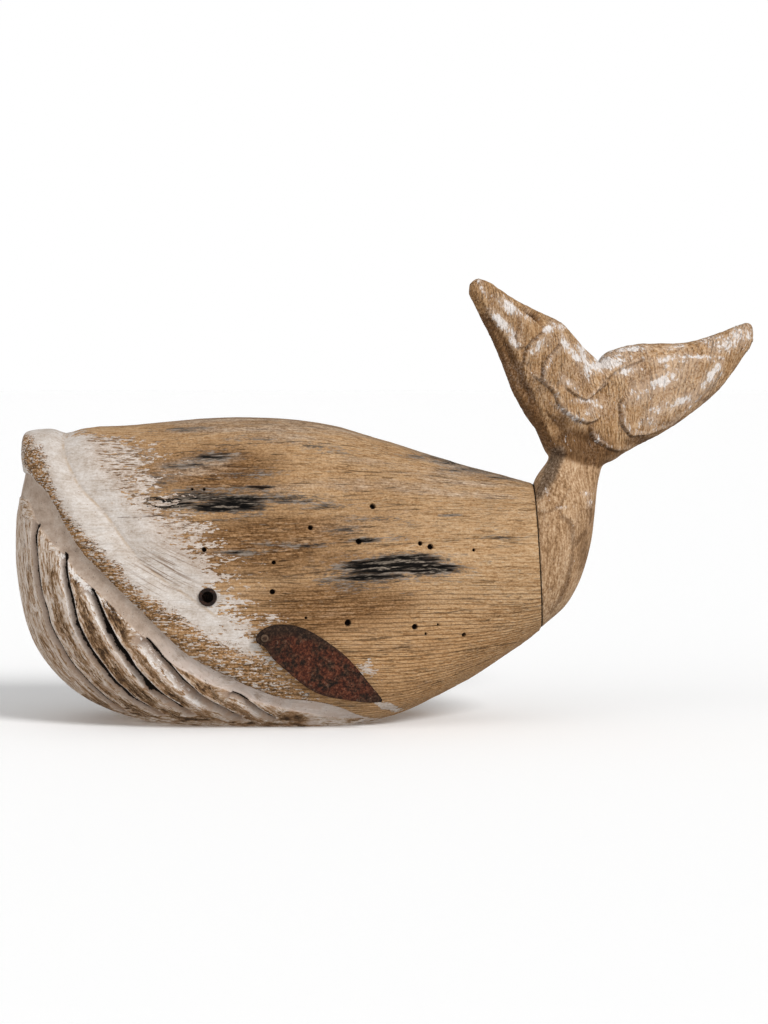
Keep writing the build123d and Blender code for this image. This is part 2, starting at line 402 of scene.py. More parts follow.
RUBBED = [(33, 438), (37, 447), (48, 462), (52, 480), (58, 498), (68, 512), (78, 524), (88, 537), (97, 547),
          (106, 556), (117, 565), (124, 573), (132, 584), (150, 597), (170, 609), (196, 627), (216, 640),
          (237, 648), (252, 654), (267, 665), (283, 676), (300, 690), (316, 701)]
GROOVES = [
    [(37, 521), (35.5, 536), (36.5, 551), (38.6, 571), (40.6, 585), (42.7, 595), (47.6, 609), (50.8, 623),
     (56.3, 635), (61.7, 644.6), (68.2, 656.5), (75.8, 667), (83.4, 675), (91, 684), (98.5, 691), (107, 699),
     (115, 705), (124, 711)],
    [(64.7, 550), (65.1, 563), (66.6, 575), (69.2, 586), (73, 599), (75.2, 611), (78, 622), (82.3, 632),
     (87.7, 642), (92, 650), (98.5, 658.7), (105, 667), (110.5, 675), (118, 683.6), (125.7, 690),
     (133, 697.5), (146, 705), (160, 712)],
    [(90, 587), (96.5, 598.5), (100.8, 608.5), (104.5, 617), (109.3, 626), (114.5, 636), (120, 645.5),
     (126.7, 653), (130, 658.7), (134.3, 666), (141, 674), (147.3, 680.3), (154, 687), (159.3, 691.7),
     (167, 697.7), (176, 703), (190, 711)],
    [(143, 638), (148.4, 643.5), (154, 650), (161, 659), (169, 666.5), (176.5, 675.5), (183.7, 682.7),
     (191, 689), (196, 694), (203, 699), (210, 703), (216, 706), (223.5, 710), (230.6, 714), (240, 718)],
    [(230, 695), (239, 698.5), (245, 702), (252, 707), (258, 711), (266, 715.5), (274, 719)],
]
# depth, width of the long wall and visible width of the black floor
GROOVE_FORM = [(1.5, 4.8, 0.75), (2.0, 3.8, 0.95), (2.7, 4.0, 0.90), (2.1, 5.0, 0.75), (1.5, 3.4, 0.6)]

lip_line = on_body(LIP, start=mid([(25.5, 471)]))
channel_line = on_body(CHANNEL, start=mid([(21, 496)]))
valley_line = on_body(VALLEY, start=mid([(64.5, 429)]))
rubbed_line = on_body(RUBBED, start=mid([(24, 434)]))
groove_lines = [on_body(g) for g in GROOVES]
# one more groove on each side of the chin, between the first pair
chin = []
for z in np.linspace(88, 12, 34):
    y = -6.5 - 1.8 * math.sin((92 - z) / 80 * math.pi)
    q = bvh.ray_cast(Vector((-0.2, y * MM, z * MM)), Vector((1, 0, 0)))[0]
    if q is not None:
        chin.append(np.array(q) / MM)
groove_lines.append(resample(np.array(chin), 0.4))
GROOVE_FORM.append((1.6, 3.2, 0.6))

EYE = np.array([-16.8, 0, 53.9])

# insect holes: side-view place and radius in mm, near side, then far side
HOLES_NEAR = [(373, 506, 1.15), (310.6, 527.5, 0.95), (359, 541.4, 1.15), (420.6, 543.3, 0.9),
              (430.7, 546.6, 1.15), (273.8, 562.6, 0.8), (272.5, 592, 1.05), (348, 623, 1.3), (415, 627, 1.15),
              (204, 549.6, 0.95), (204, 489, 0.6), (192, 489, 0.55), (306, 618, 0.55), (426, 634, 0.55),
              (464, 635, 0.9), (438, 625, 0.5), (474, 550, 0.6)]
HOLES_FAR = [(300, 500, 1.05), (352, 560, 1.1), (405, 520, 0.9), (286, 610, 1.15), (331, 588, 0.7),
             (450, 575, 1.0), (246, 540, 0.85), (388, 640, 1.1), (470, 530, 0.6), (430, 600, 0.9)]
HOLE_P = np.vstack([cast(bvh, [(a, b) for a, b, _ in HOLES_NEAR]),
                    cast(bvh, [(a, b) for a, b, _ in HOLES_FAR]) * np.array([1, -1, 1])])
HOLE_R = np.array([r for _, _, r in HOLES_NEAR + HOLES_FAR])


def mirrored(p, nrm):
    m = p.copy()
    m[:, 1] = -np.abs(m[:, 1])
    mn = nrm.copy()
    mn[:, 1] = np.where(p[:, 1] > 0, -mn[:, 1], mn[:, 1])
    return m, mn


def body_fields(p, nrm, all_of_it=True):
    """Everything that is carved or worn, at points of the plain body."""
    m, mn = mirrored(p, nrm)
    F = {}
    F["lip"], F["lip_u"] = distance_to(m, mn, lip_line)
    F["chan"], F["chan_u"] = distance_to(m, mn, channel_line)
    if all_of_it:
        F["val"], F["val_u"] = distance_to(m, mn, valley_line)
        F["rub"], F["rub_u"] = distance_to(m, mn, rubbed_line)
    # the floor of a groove is partly hidden behind its near edge where the surface turns away
    facing = np.clip(-(mn @ FWD), 0.3, 1)
    turn = np.sqrt(1 - facing ** 2) / facing * smooth(0.0, 0.25, -mn[:, 0])
    n = len(p)
    g, gu, gi = np.full(n, 60.0), np.zeros(n), np.zeros(n, int)
    for i, line in enumerate(groove_lines):
        d, u = distance_to(m, mn, line, 34.0)
        d = d + 0.6 * smooth(0.1, 0.9, GROOVE_FORM[i][0] * turn)
        closer = np.abs(d + 1.0) < np.abs(g + 1.0)
        g[closer], gu[closer], gi[closer] = d[closer], u[closer], i
    F["grv"], F["grv_u"], F["grv_i"], F["turn"] = g, gu, gi, turn
    h = np.full(n, 9.0)
    for c, r in zip(HOLE_P, HOLE_R):
        i = np.where(np.abs(p - c).max(1) < 6)[0]
        h[i] = np.minimum(h[i], np.linalg.norm(p[i] - c, axis=1) / r)
    F["hole"] = h
    F["eye"] = np.where(np.abs(p[:, 1]) > 40, np.hypot(p[:, 0] - EYE[0], p[:, 2] - EYE[2]), 30)
    return F


# finer mesh where there is carving, holes and the eye
P = coords(body.data) / MM
N = normals(body.data)
F = body_fields(P, N, False)
throat = F["chan"] < 2.0
pick = ((np.abs(F["lip"]) < 1.6) | (np.abs(F["chan"]) < 1.4) | ((F["grv"] > -2.4) & (F["grv"] < 1.8) & throat)
        | (F["hole"] < 2.2) | (F["eye"] < 5.0)) & (P[:, 2] > 0.3) & (np.abs(P[:, 0]) < 116)
refine(body.data, pick)
P = coords(body.data) / MM
N = normals(body.data)
F = body_fields(P, N, False)
refine(body.data, (F["hole"] < 1.6) & (P[:, 2] > 0.3))
P = coords(body.data) / MM
N = smooth_normals(body.data, 4)
F = body_fields(P, N)

X, Y, Z = P.T
MP, MN = mirrored(P, N)
VX, VY = side_view(MP)
side = np.where(Y > 0, 1.0, -1.0)
lip, chan, val, rub = F["lip"], F["chan"], F["val"], F["rub"]
in_throat = lip < 0
between = in_throat & (chan > 0)
below = in_throat & (chan <= 0)

# rolled lip, and the valley behind it with a narrow crease
front = 1 - smooth(0.0, 0.16, F["lip_u"])
fade = 1 - smooth(0.62, 0.95, F["lip_u"])
roll_flank = np.interp(lip, [0, 0.8, 2.0, 4.0, 6.5, 10, 14, 20], [-1.1, -0.45, 0.1, 0.6, 0.8, 0.45, 0.1, 0])
roll_front = np.interp(lip, [0, 1.5, 3.3, 5.5, 8.6, 12, 16], [-2.4, -1.9, -1.25, -0.75, -0.3, 0.0, 0])
height = np.where(lip >= 0, (roll_flank * (1 - front) + roll_front * front) * fade, 0)
val_fade = 1 - smooth(0.60, 0.99, F["val_u"])
broad = np.exp(-(val / np.where(val > 0, 7.0, 3.4)) ** 2)
height -= np.where(lip >= 0, val_fade * (1.5 * broad + 0.45 * np.exp(-(val / 0.85) ** 2)), 0)
# cove under the lip
fr = np.clip(-lip / (-lip + np.maximum(chan, 0) + 1e-6), 0, 1)
cove_flank = np.interp(fr, [0, 0.12, 0.35, 0.7, 0.94, 1.0], [-1.1, -1.75, -2.25, -2.25, -1.9, -1.5])
cove_front = np.interp(fr, [0, 0.2, 0.45, 0.75, 1.0], [-2.4, -2.9, -2.3, -1.7, -1.3])
late = 1 - 0.7 * smooth(0.75, 1.0, F["lip_u"])
height = np.where(between, (cove_flank * (1 - front) + cove_front * front) * late, height)
rise = -1.15 * np.exp(chan / 5.0) - 0.25
height = np.where(below, rise * (1 - 0.7 * smooth(0.75, 1.0, F["chan_u"])), height)
# throat grooves: a long wall down to a narrow floor and a steep near wall
form = np.array(GROOVE_FORM)[F["grv_i"]]
gu, g = F["grv_u"], F["grv"]
taper = smooth(0.0, 0.05, gu) * (1 - 0.8 * smooth(0.70, 0.98, gu)) * (1 - smooth(0.985, 1, gu))
wall_w = form[:, 1]
cut = np.interp(g, [0.35, 1.05], [1, 0]) * np.clip((g + wall_w) / (wall_w - 0.45), 0, 1) ** 1.1
cut = np.where((g > -wall_w) & (g < 1.05), cut, 0)
near_throat = below | (between & (chan < 1.0))
height -= np.where(near_throat, form[:, 0] * taper * cut, 0)
# pleats rise a little towards the edge that stands over the next groove
height += np.where(below, 0.45 * taper * np.interp(g, [0.9, 1.3, 4.0, 8.0], [0, 1, 0.35, 0]), 0)

# grain runs along X and bends with the back
rel = np.clip((Z - 55) / 65.0, 0, 1)
crown = top_of(along(np.clip(X, -97, 124))) - 122.0
bend = 0.62 * smooth(0.35, 1.0, rel) * crown
warp = 4.0 * (fbm(np.stack([X / 80, Y / 40, Z / 30], 1), 2, 5) - 0.5)
inward = width_of(along(np.clip(X, -97, 124))) - np.abs(Y)
grain = np.stack([X, Z - bend + warp, 0.8 * inward + 44.0 * smooth(-9, 9, Y)], 1)

# growth rings show as parallel lines along the grain
waist = 52.0
ring_phase = (grain[:, 1] + 0.8 * inward * (smooth(waist, waist + 25, Z) - smooth(waist, waist - 25, Z)) + 1.0 * (fbm(np.stack([X / 90, Y / 14, Z / 14], 1), 2, 9) - 0.5)) / 1.75
ring_k = 0.25 + 0.75 * smooth(560, 615, VY) + 0.5 * bell(VX, 250, 70) * bell(VY, 540, 40)

# black checks: dark, eroded hollows along the grain
CHECKS_NEAR = [(234, 504, 33, 8.5, 1.1), (216, 508, 26, 5, 1.0), (288, 500, 34, 6, 0.56), (260, 487, 17, 1.6, 0.9),
               (168, 503, 40, 7, 0.66), (235, 497, 62, 10, 0.52), (200, 496, 30, 9, 0.62), (398, 567, 66, 15, 0.50), (408, 561, 36, 7.5, 1.1), (380, 567, 42, 8.0, 1.05), (370, 577, 40, 6, 0.85),
               (432, 569, 34, 7.5, 0.78), (340, 580, 28, 6, 0.5),
               (366, 540, 20, 3.0, 0.72), (450, 515, 17, 1.7, 0.72), (185, 465, 26, 5, 0.52), (215, 458, 30, 6, 0.50),
               (330, 506, 24, 3, 0.45), (300, 546, 32, 3, 0.48), (345, 530, 22, 5, 0.46), (275, 545, 26, 3, 0.48),
               (350, 585, 24, 8, 0.40), (235, 553, 34, 4, 0.50), (470, 470, 34, 6, 0.42), (425, 457, 40, 4, 0.42),
               (320, 447, 36, 5, 0.32), (256, 440, 30, 4, 0.34), (190, 430, 34, 3, 0.42), (398, 538, 16, 3, 0.40),
               (160, 480, 24, 8, 0.40), (250, 475, 34, 5, 0.42), (212, 690, 9, 3, 0.0), (375, 520, 34, 4, 0.36),
               (222, 668, 14, 4, 0.62), (508, 536, 20, 2, 0.4), (454, 462, 28, 3, 0.5), (500, 478, 22, 4, 0.45)]
CHECKS_FAR = [(300, 520, 32, 7, 1.0), (345, 527, 28, 5, 0.75), (430, 585, 30, 6, 0.95), (400, 577, 26, 5, 0.7),
              (240, 470, 26, 6, 0.52), (470, 520, 22, 3, 0.6), (380, 480, 30, 3, 0.48), (260, 600, 26, 4, 0.45),
              (330, 620, 24, 4, 0.45), (220, 540, 28, 4, 0.45), (440, 630, 26, 3, 0.45), (200, 440, 34, 4, 0.42),
              (320, 445, 36, 5, 0.36), (450, 470, 34, 5, 0.42)]


def bent(z, x):
    return z - 0.62 * smooth(0.35, 1.0, np.clip((z - 55) / 65, 0, 1)) * (top_of(along(x)) - 122.0)


check = np.zeros(len(P))
for blobs, s in ((CHECKS_NEAR, -1), (CHECKS_FAR, 1)):
    here = side == s
    for c, (_, _, a, b, k) in zip(cast(bvh, [(q[0], q[1]) for q in blobs]), blobs):
        d = np.exp(-np.abs((X - c[0]) / (a * UNIT)) ** 2.2 - np.abs((Z - bend - bent(c[2], c[0])) / (b * UNIT)) ** 2.0)
        check = np.where(here, np.maximum(check, k * d), check)
streak = fbm(grain * np.array([0.06, 0.70, 0.70]), 3, 11)
dug = smooth(0.42, 0.95, check + 0.9 * (streak - 0.5)) * (lip > 4)
height -= 1.5 * dug

# brushed grain and hand carving
calm = np.where(in_throat, 0.15, 1.0) * smooth(-4, 14, np.where(lip > 0, val, 20) + 2) * 0.9 + 0.1
rings = fbm(grain * np.array([0.012, 0.30, 0.30]), 3, 3)
height += 0.45 * (rings - 0.5) * calm
ridges = fbm(grain * np.array([0.09, 0.75, 0.75]), 2, 7)
height += 0.26 * (ridges - 0.5) * calm
height += 0.9 * (fbm(P / 30.0, 2, 21) - 0.5)
# fine curved tool lines between the valley's end and the eye
tool = bell(VX, 165, 30) * bell(VY, 572, 24) * (lip > 3)
arc = (VY - 545) - 0.62 * (VX - 130) + 0.0016 * (VX - 130) ** 2
tool_way = np.stack([VX * UNIT, arc * UNIT * 1.6, 0.2 * Y], 1)
height -= 0.16 * tool * (0.5 + 0.5 * np.sin(arc * 1.15))

# insect holes and eye sockets
height -= 2.6 * (1 - smooth(0.72, 1.12, F["hole"]))
eye_rim = np.exp(-(F["eye"] / 5.0) ** 4)
height = height * (1 - eye_rim) - 0.15 * eye_rim
height[F["eye"] < 2.95] = -8.6
# flat seat behind each fin: nothing stands proud there
fin_zone = np.exp(-(((X - 28) / 36) ** 4 + ((Z - 26) / 26) ** 4))
height = np.where(height > 0, height * (1 - fin_zone), height)
# the resting face and the glued face stay flat
to_joint = -((P - JOINT_MID) @ JOINT_N)
height *= smooth(0.05, 2.5, Z) * smooth(0.0, 0.8, to_joint)
moved = P + N * height[:, None]
radial = np.stack([np.zeros(len(P)), Y, Z - 66], 1)
radial /= np.linalg.norm(radial, axis=1)[:, None] + 1e-9
chip = 0.22 + 0.75 * smooth(0.62, 0.80, fbm(P / 5.0, 2, 61))
moved -= radial * (np.exp(-(to_joint / 0.8) ** 2) * chip * (np.abs(N @ JOINT_N) < 0.85))[:, None]
moved[:, 2] = np.maximum(moved[:, 2], 0)
moved -= np.maximum((moved - JOINT_MID) @ JOINT_N, 0)[:, None] * JOINT_N
profile = np.interp(VY, [430, 437, 444, 450, 455, 460, 465, 470, 473.5, 476, 483.6, 495.5, 509, 526, 545],
                    [22.5, 21.6, 21.3, 21.5, 22.1, 23.1, 24.5, 26.2, 27.4, 26.4, 24.0, 20.6, 18.0, 16.7, 16.2])
over = (profile - side_view(moved * np.array([1, 0, 1]))[0]) * UNIT
push = np.where(over > 0.8, over, np.where(over > -0.8, (over + 0.8) ** 2 / 3.2, 0))
moved[:, 0] += np.where((X < -70) & (VY > 428) & (VY < 545), push * smooth(428, 436, VY) * smooth(545, 530, VY), 0)
fwd_x = moved[:, 0] < -90
moved[fwd_x, 0] = -90 + (moved[fwd_x, 0] + 90) * min(1, 7.85 / (-90 - moved[:, 0].min()))
set_coords(body.data, moved * MM)

# ----------------------------------------------------------- wear and paint
# how far a point lies inside the painted head, in mm
edge_x = np.interp(VY, [418, 427, 434, 440, 460, 480, 500, 510, 520, 530, 545, 555, 570, 580, 590, 600, 615, 628,
                        640, 655, 672, 690, 705, 716],
                   [66, 70, 104, 139, 146, 148, 150, 164, 192, 204, 192, 200, 222, 230, 222, 232, 240, 250,
                    262, 262, 262, 270, 290, 300])
painted = (edge_x - VX) * UNIT
painted = np.where(side > 0, painted + 3.0 * (fbm(P / 25.0, 2, 71) - 0.3), painted)
top_streaks = smooth(446, 428, VY) * smooth(66, 78, VX)
painted = painted - 4.5 * top_streaks
flecks = np.maximum(np.maximum(0.98 * bell(VX, 268, 40) * bell(VY, 620, 12), 1.02 * bell(VX, 368, 22) * bell(VY, 670, 28)),
                    0.95 * bell(VX - 0.75 * (VY - 660), 268, 26) * bell(VY, 664, 26))
patch = bell((VX - 386) * 0.96 + (VY - 706) * 0.28, 0, 19) * bell((VY - 706) * 0.96 - (VX - 386) * 0.28, 0, 6)
painted = np.maximum(painted, np.maximum(44 * flecks - 46, 62 * patch - 44))
# bare, rubbed band along the lip (positive where rubbed)
band = -rub
left_edge = np.interp(VY, [430, 437, 463, 470, 480, 497, 513], [30, 20, 21, 26, 35, 47, 53])
band = np.minimum(band, np.where(VY < 513, (VX - left_edge) * UNIT * 1.6, 20))
band = np.where(lip > 0, np.minimum(band, 12), -12) * 1.0
cracks = smooth(2, 22, val) * smooth(560, 500, VY) + 0.35 * smooth(4, 25, val)
cracks = np.where(lip > 0, np.clip(cracks, 0, 1), 0)
# black groove floors: painted shade with some dirt, widened where the surface turns away and the floor would be hidden
seen = form[:, 2] + np.where(F["grv_i"] == 2, 1.15 * bell(gu, 0.36, 0.14) + 0.9 * bell(gu, 0.71, 0.07), 0) \
    + np.where(F["grv_i"] == 1, 0.5 * bell(gu, 0.5, 0.14), 0)
seen = seen * (0.45 + 1.1 * fbm(P / 4.5, 2, 81))
deep = form[:, 0] * taper * F["turn"]
slope = deep / (wall_w - 0.45)
hidden = np.where(1.05 - deep > -0.45, 1.05 - deep, (1.05 - slope * wall_w) / (1 + slope))
floor_l = np.minimum(hidden, 0.35) - seen
ends = smooth(0, np.where(F["grv_i"] >= 4, 0.14, 0.02), gu) * (1 - smooth(0.90, 0.99, gu))
black = np.where(near_throat, np.minimum(g - floor_l, 1.02 - g) * ends - 0.4 * (1 - ends), -5)
wall = np.where(near_throat, np.clip((g + wall_w * 0.95) / (floor_l + wall_w * 0.95), -1, 2), -1)
wall = np.where((g < 1.0) & (g > -8), wall, -1)
strength = np.array([0.10, 0.85, 1.0, 1.0, 0.65, 0.3])[F["grv_i"]] * (1 - 0.6 * smooth(0.6, 1.0, gu)) * smooth(0, 0.02, gu)
strength = strength * (1 - 0.7 * smooth(0.60, 0.88, gu))
strength = np.where(F["grv_i"] == 1, strength * (1 - 0.75 * smooth(0.3, 0.6, gu)), strength)
wall_white = strength
# thin pale line along the pleat edge over each groove: painted highlight
edge_highlight_band = np.where(below, np.minimum(g - 0.85, 1.6 - g), -5) - 2 * (1 - ends)
shoulder = np.where(below, np.minimum(chan + 2.3, -chan), -5) - 3 * (1 - bell(F["chan_u"], 0.36, 0.13))
# pale crest over the fourth groove, which starts above it
crest = resample(np.array([(115, 0, 613), (124, 0, 621), (134, 0, 632), (145, 0, 646), (158, 0, 663), (172, 0, 679), (188, 0, 693)], float), 1.5)
crest_d = np.full(len(P), 99.0)
for c_ in crest:
    crest_d = np.minimum(crest_d, np.hypot(VX - c_[0], VY - c_[2]))
shoulder = np.where(below, np.maximum(shoulder, 0.5 - 1.7 * crest_d * UNIT), shoulder)
# long thin cracks: signed distance and half width
CRACKS = [([(326, 641.5), (360, 640), (395, 637), (442, 632)], 0.36), ([(358, 547.5), (445, 541), (531, 535)], 0.26),
          ([(388, 660), (460, 651), (531, 640)], 0.24), ([(114, 516.5), (135, 517), (160, 515.5), (194, 518)], 0.34),
          ([(222, 483.5), (246, 488), (276, 486)], 0.5), ([(262, 603), (300, 601), (345, 603)], 0.26), ([(300, 654), (370, 651), (420, 646)], 0.2),
          ([(150, 470), (200, 466), (262, 468)], 0.26), ([(395, 616), (450, 612), (520, 603)], 0.22), ([(330, 470), (400, 472), (470, 480)], 0.2),
          ([(232, 446), (300, 441), (360, 447)], 0.2), ([(290, 575), (330, 571), (352, 572)], 0.3), ([(420, 690), (470, 668), (505, 652)], 0.18)]
crack_s, crack_w = np.full(len(P), 9.0), np.zeros(len(P))
for line_, w_ in CRACKS:
    ax, ay = np.array(line_).T
    d_ = (VY - np.interp(VX, ax, ay) - 1.2 * (fbm(np.stack([VX / 14, side * 7, 0 * VX], 1), 2, 97) - 0.5)) * UNIT
    here = (np.abs(d_) < np.abs(crack_s)) & (VX > ax[0] - 3) & (VX < ax[-1] + 3) & (lip > 3)
    crack_s = np.where(here, d_, crack_s)
    t_ = np.clip((VX - ax[0]) / (ax[-1] - ax[0]), 0, 1)
    crack_w = np.where(here, w_ * np.minimum(1, 6 * np.minimum(t_, 1 - t_)), crack_w)
lengths = np.array([np.linalg.norm(np.diff(q, axis=0), axis=1).sum() for q in groove_lines])
past = (gu > 0.985) | (gu < 0.004)
pleat = np.stack([gu * lengths[F["grv_i"]] + 37.0 * F["grv_i"], g, 0.15 * MP[:, 2] + 11.0 * F["grv_i"]], 1)
pleat[past] = np.stack([X, Z, 0.2 * MP[:, 1]], 1)[past]
pleat[:, 0] += np.where(Y > 0, 173.0, 0.0)
chin_mid = below & (np.abs(Y) < 8.2) & (X < -40)
pleat[chin_mid] = np.stack([Z + 400, Y, 0.2 * X], 1)[chin_mid]
pleat[below & (np.abs(Y) < 12) & (X >= -40)] = np.stack([X, Y, 0.2 * Z], 1)[below & (np.abs(Y) < 12) & (X >= -40)]
bare = np.full(len(P), 0.16)
worn_pleats = [([(50, 572), (56, 605), (66, 635), (80, 660), (97, 683), (112, 700)], 6.0, 0.62),
               ([(76, 583), (84, 612), (95, 640), (112, 668), (132, 690), (150, 704)], 8.5, 0.98),
               ([(106, 604), (116, 622), (128, 642), (145, 664), (166, 688), (184, 702)], 8.0, 1.02),
               ([(156, 642), (176, 664), (196, 684), (222, 702), (250, 716)], 7.0, 0.90),
               ([(27, 560), (31, 600), (41, 635), (57, 665), (78, 690), (100, 706)], 5.0, 0.36),
               ([(84, 700), (140, 712), (200, 717), (300, 722)], 9.0, 0.84)]
for line_, w_, k_ in worn_pleats:
    q_ = resample(np.array([(a_, 0.0, b_) for a_, b_ in line_], float), 2.0)
    near_ = np.full(len(P), 99.0)
    for c_ in q_:
        near_ = np.minimum(near_, np.hypot(VX - c_[0], VY - c_[2]))
    bare = np.maximum(bare, k_ * bell(near_, 0.0, w_))
clear = np.where(g > 0, smooth(1.0, 2.4, g), smooth(0.4, 1.8, -g - wall_w))
bare = np.where(below, 0.12 + (bare - 0.12) * (0.25 + 0.75 * clear), bare)
tone = np.zeros(len(P))
for cx, cy, ax, ay, k in ((335, 606, 88, 30, 1.15), (265, 545, 84, 38, 1.30), (215, 470, 80, 30, 1.20),
                          (330, 560, 66, 24, 0.80), (400, 690, 50, 14, 0.12), (170, 470, 44, 40, 0.90),
                          (240, 690, 70, 14, 0.95), (150, 610, 60, 30, 0.6), (215, 560, 40, 30, 1.05), (430, 640, 60, 30, 0.20), (390, 490, 110, 40, 0.34)):
    tone = np.maximum(tone, k * bell(VX, cx, ax) * bell(VY, cy, ay))
grey = np.clip(0.8 * smooth(450, 424, VY) * smooth(120, 200, VX) + 0.6 * bell(VY, 470, 26) * bell(VX, 480, 60)
               + 0.25 * bell(VY, 475, 40) * bell(VX, 380, 110) + 0.40 * check + 0.5 * bell(VX, 200, 60) * bell(VY, 466, 14), 0, 1)
# lower throat browner and darker towards the bottom: partly dirt, partly painted shade
low_throat_dirt_and_shade = smooth(60, 6, Z) * in_throat
rear_wash = smooth(0.50, 0.68, F["chan_u"]) * between

me = body.data
shade_smooth(me)
for name, values in (("grain", grain), ("painted", painted), ("lipd", lip), ("chand", chan), ("vald", val), ("band", band),
                     ("cracks", cracks), ("black", black), ("wall", wall), ("wallw", wall_white), ("edge", edge_highlight_band),
                     ("shoulder", shoulder), ("pleat", pleat), ("bare", bare), ("ringph", ring_phase), ("ringk", ring_k),
                     ("throat", in_throat * 1.0), ("check", check), ("hole", F["hole"]), ("tone", tone), ("grey", grey),
                     ("throat_dirt_and_shade", low_throat_dirt_and_shade), ("rearw", rear_wash * 1.0), ("cracks2", crack_s), ("crackw", crack_w), ("joint", to_joint), ("socket", F["eye"]), ("tool", tool), ("toolv", tool_way)):
    put(me, name, values)

# --------------------------------------------------------------- the tail
STOCK = [((113.0, 95.7), (116.4, 37.2), 22.3), ((113.8, 98.1), (127.4, 47.8), 21.6),
         ((115.8, 101.4), (134.3, 63.8), 19.6), ((117.9, 104.2), (137.9, 81.4), 16.8),
         ((119.3, 107.1), (139.5, 96.5), 13.8), ((119.5, 110.5), (142.2, 104.9), 12.0),
         ((117.6, 116.5), (146.0, 110.0), 11.6)]
TURN = math.radians(30)
AXIS_X = 131.0
F_ALONG = np.array([math.cos(TURN), math.sin(TURN), 0])
F_FRONT = np.array([math.sin(TURN), -math.cos(TURN), 0])
LEFT_LOBE = [((-14.1, 109.4, 0.7), (12.4, 102.8, 0.5), 23.0), ((-18.3, 117.1, 1.0), (13.7, 120.0, 0.6), 22.0),
             ((-26.1, 125.5, 2.0), (12.7, 133.5, 0.5), 19.5), ((-32.4, 134.2, 2.9), (9.8, 144.6, 0.3), 17.5),
             ((-37.3, 143.6, 3.7), (0.6, 153.3, 0.0), 16.0), ((-41.6, 151.4, 4.5), (-8.8, 161.6, 0.3), 14.5),
             ((-45.9, 158.1, 5.4), (-20.5, 166.0, 1.3), 13.0), ((-50.2, 164.4, 6.4), (-32.0, 170.2, 2.8), 11.5),
             ((-53.5, 169.1, 7.1), (-40.0, 174.3, 4.2), 10.0), ((-56.0, 173.0, 7.7), (-46.5, 177.9, 5.5), 8.0),
             ((-56.1, 175.6, 7.8), (-51.1, 179.2, 6.6), 5.0)]
RIGHT_LOBE = [((-8.6, 114.2, 0.3), (12.8, 103.2, 0.5), 23.0), ((0.3, 130.3, 0.0), (18.4, 106.8, 1.0), 22.0),
              ((7.0, 141.7, 0.2), (29.4, 112.0, 2.4), 19.5), ((13.6, 149.0, 0.6), (41.9, 118.1, 4.6), 17.5),
              ((24.6, 152.3, 1.8), (52.4, 125.1, 6.9), 16.0), ((36.4, 153.4, 3.6), (61.0, 132.1, 9.0), 14.5),
              ((48.7, 154.0, 6.0), (68.1, 139.9, 10.4), 12.5), ((60.8, 156.7, 9.0), (74.2, 147.4, 10.4), 10.5),
              ((70.0, 159.7, 10.4), (78.1, 152.4, 10.4), 8.5), ((75.2, 161.5, 10.4), (79.8, 156.6, 10.4), 6.5),
              ((77.2, 161.9, 10.4), (79.9, 159.1, 10.4), 4.5)]


def fluke_point(q):
    s, z, fwd = q
    return np.array([AXIS_X, 0, 0]) + s * F_ALONG + fwd * F_FRONT + np.array([0, 0, z])


def oval_rings(rows, exponent, count, around=96, round_end=True):
    """Rings through (edge a, edge b, half vector across) rows, smoothly joined."""
    rows = [np.concatenate(r) for r in rows]
    t = np.arange(len(rows))
    cols = np.stack(rows)
    q = np.linspace(0, len(rows) - 1, count)
    val_ = np.stack([pchip(t, cols[:, i])(q) for i in range(9)], 1)
    ang = 2 * np.pi * np.arange(around) / around
    c, s = power(np.cos(ang), 2 / exponent), power(np.sin(ang), 2 / exponent)
    out = []
    for r in val_:
        a, b, w = r[:3], r[3:6], r[6:]
        out.append((a + b) / 2 + np.outer(c, (b - a) / 2) + np.outer(s, w))
    if round_end:
        m0, m1 = out[-2].mean(0), out[-1].mean(0)
        step = (m1 - m0) / np.linalg.norm(m1 - m0)
        last = out[-1]
        reach = 0.42 * np.linalg.norm(last - m1, axis=1).min()
        for k in (0.35, 0.65, 0.85, 0.96):
            out.append(m1 + (last - m1) * math.sqrt(1 - k * k) + step * reach * k)
    return out


def lobe_rows(lobe):
    return [(fluke_point(a), fluke_point(b), F_FRONT * (th / 2)) for a, b, th in lobe]


stock_rows = [(np.array([a[0], 0, a[1]]), np.array([b[0], 0, b[1]]), np.array([0, h, 0])) for a, b, h in STOCK]
vs, fs, n0 = [], [], 0
for rings_ in (oval_rings(stock_rows, 2.2, 70, round_end=False), oval_rings(lobe_rows(LEFT_LOBE), 2.3, 90),
               oval_rings(lobe_rows(RIGHT_LOBE), 2.3, 90)):
    v, f = tube_of_rings(rings_)
    vs.append(v)
    fs += [tuple(i + n0 for i in q) for q in f]
    n0 += len(v)
tail = mesh_object("whale_tail", np.vstack(vs) * MM, fs)
bm = bmesh.new()
bm.from_mesh(tail.data)
bmesh.ops.recalc_face_normals(bm, faces=bm.faces)
bm.to_mesh(tail.data)
bm.free()
remeshed(tail, 0.55 * MM, 2)
# blend the root of the flukes into the stock
tp = coords(tail.data) / MM
te = edges_of(tail.data)
for _ in range(44):
    q = relax_values(tp, te, len(tp), 1, 0.6)
    wgt = np.exp(-((tp[:, 2] - 108) / 12) ** 2) * 0.95 + 0.04
    wgt *= smooth(0.3, 4, (tp - JOINT_MID) @ JOINT_N)
    tp = tp + (q - tp) * wgt[:, None]
set_coords(tail.data, tp * MM)
tail_tree = BVHTree.FromObject(tail, bpy.context.evaluated_depsgraph_get())


def on_tail(points, second=False, closed=False):
    pts = list(points) + ([points[0]] if closed else [])
    return resample(cast(tail_tree, pts, second), 0.35, 6)


RING = [(619, 405), (620.5, 425), (629, 436), (646, 434.5), (670, 425), (698, 401), (723.5, 374), (722, 361), (707, 356),
        (690, 356.5), (670, 360), (646, 381), (624, 396)]
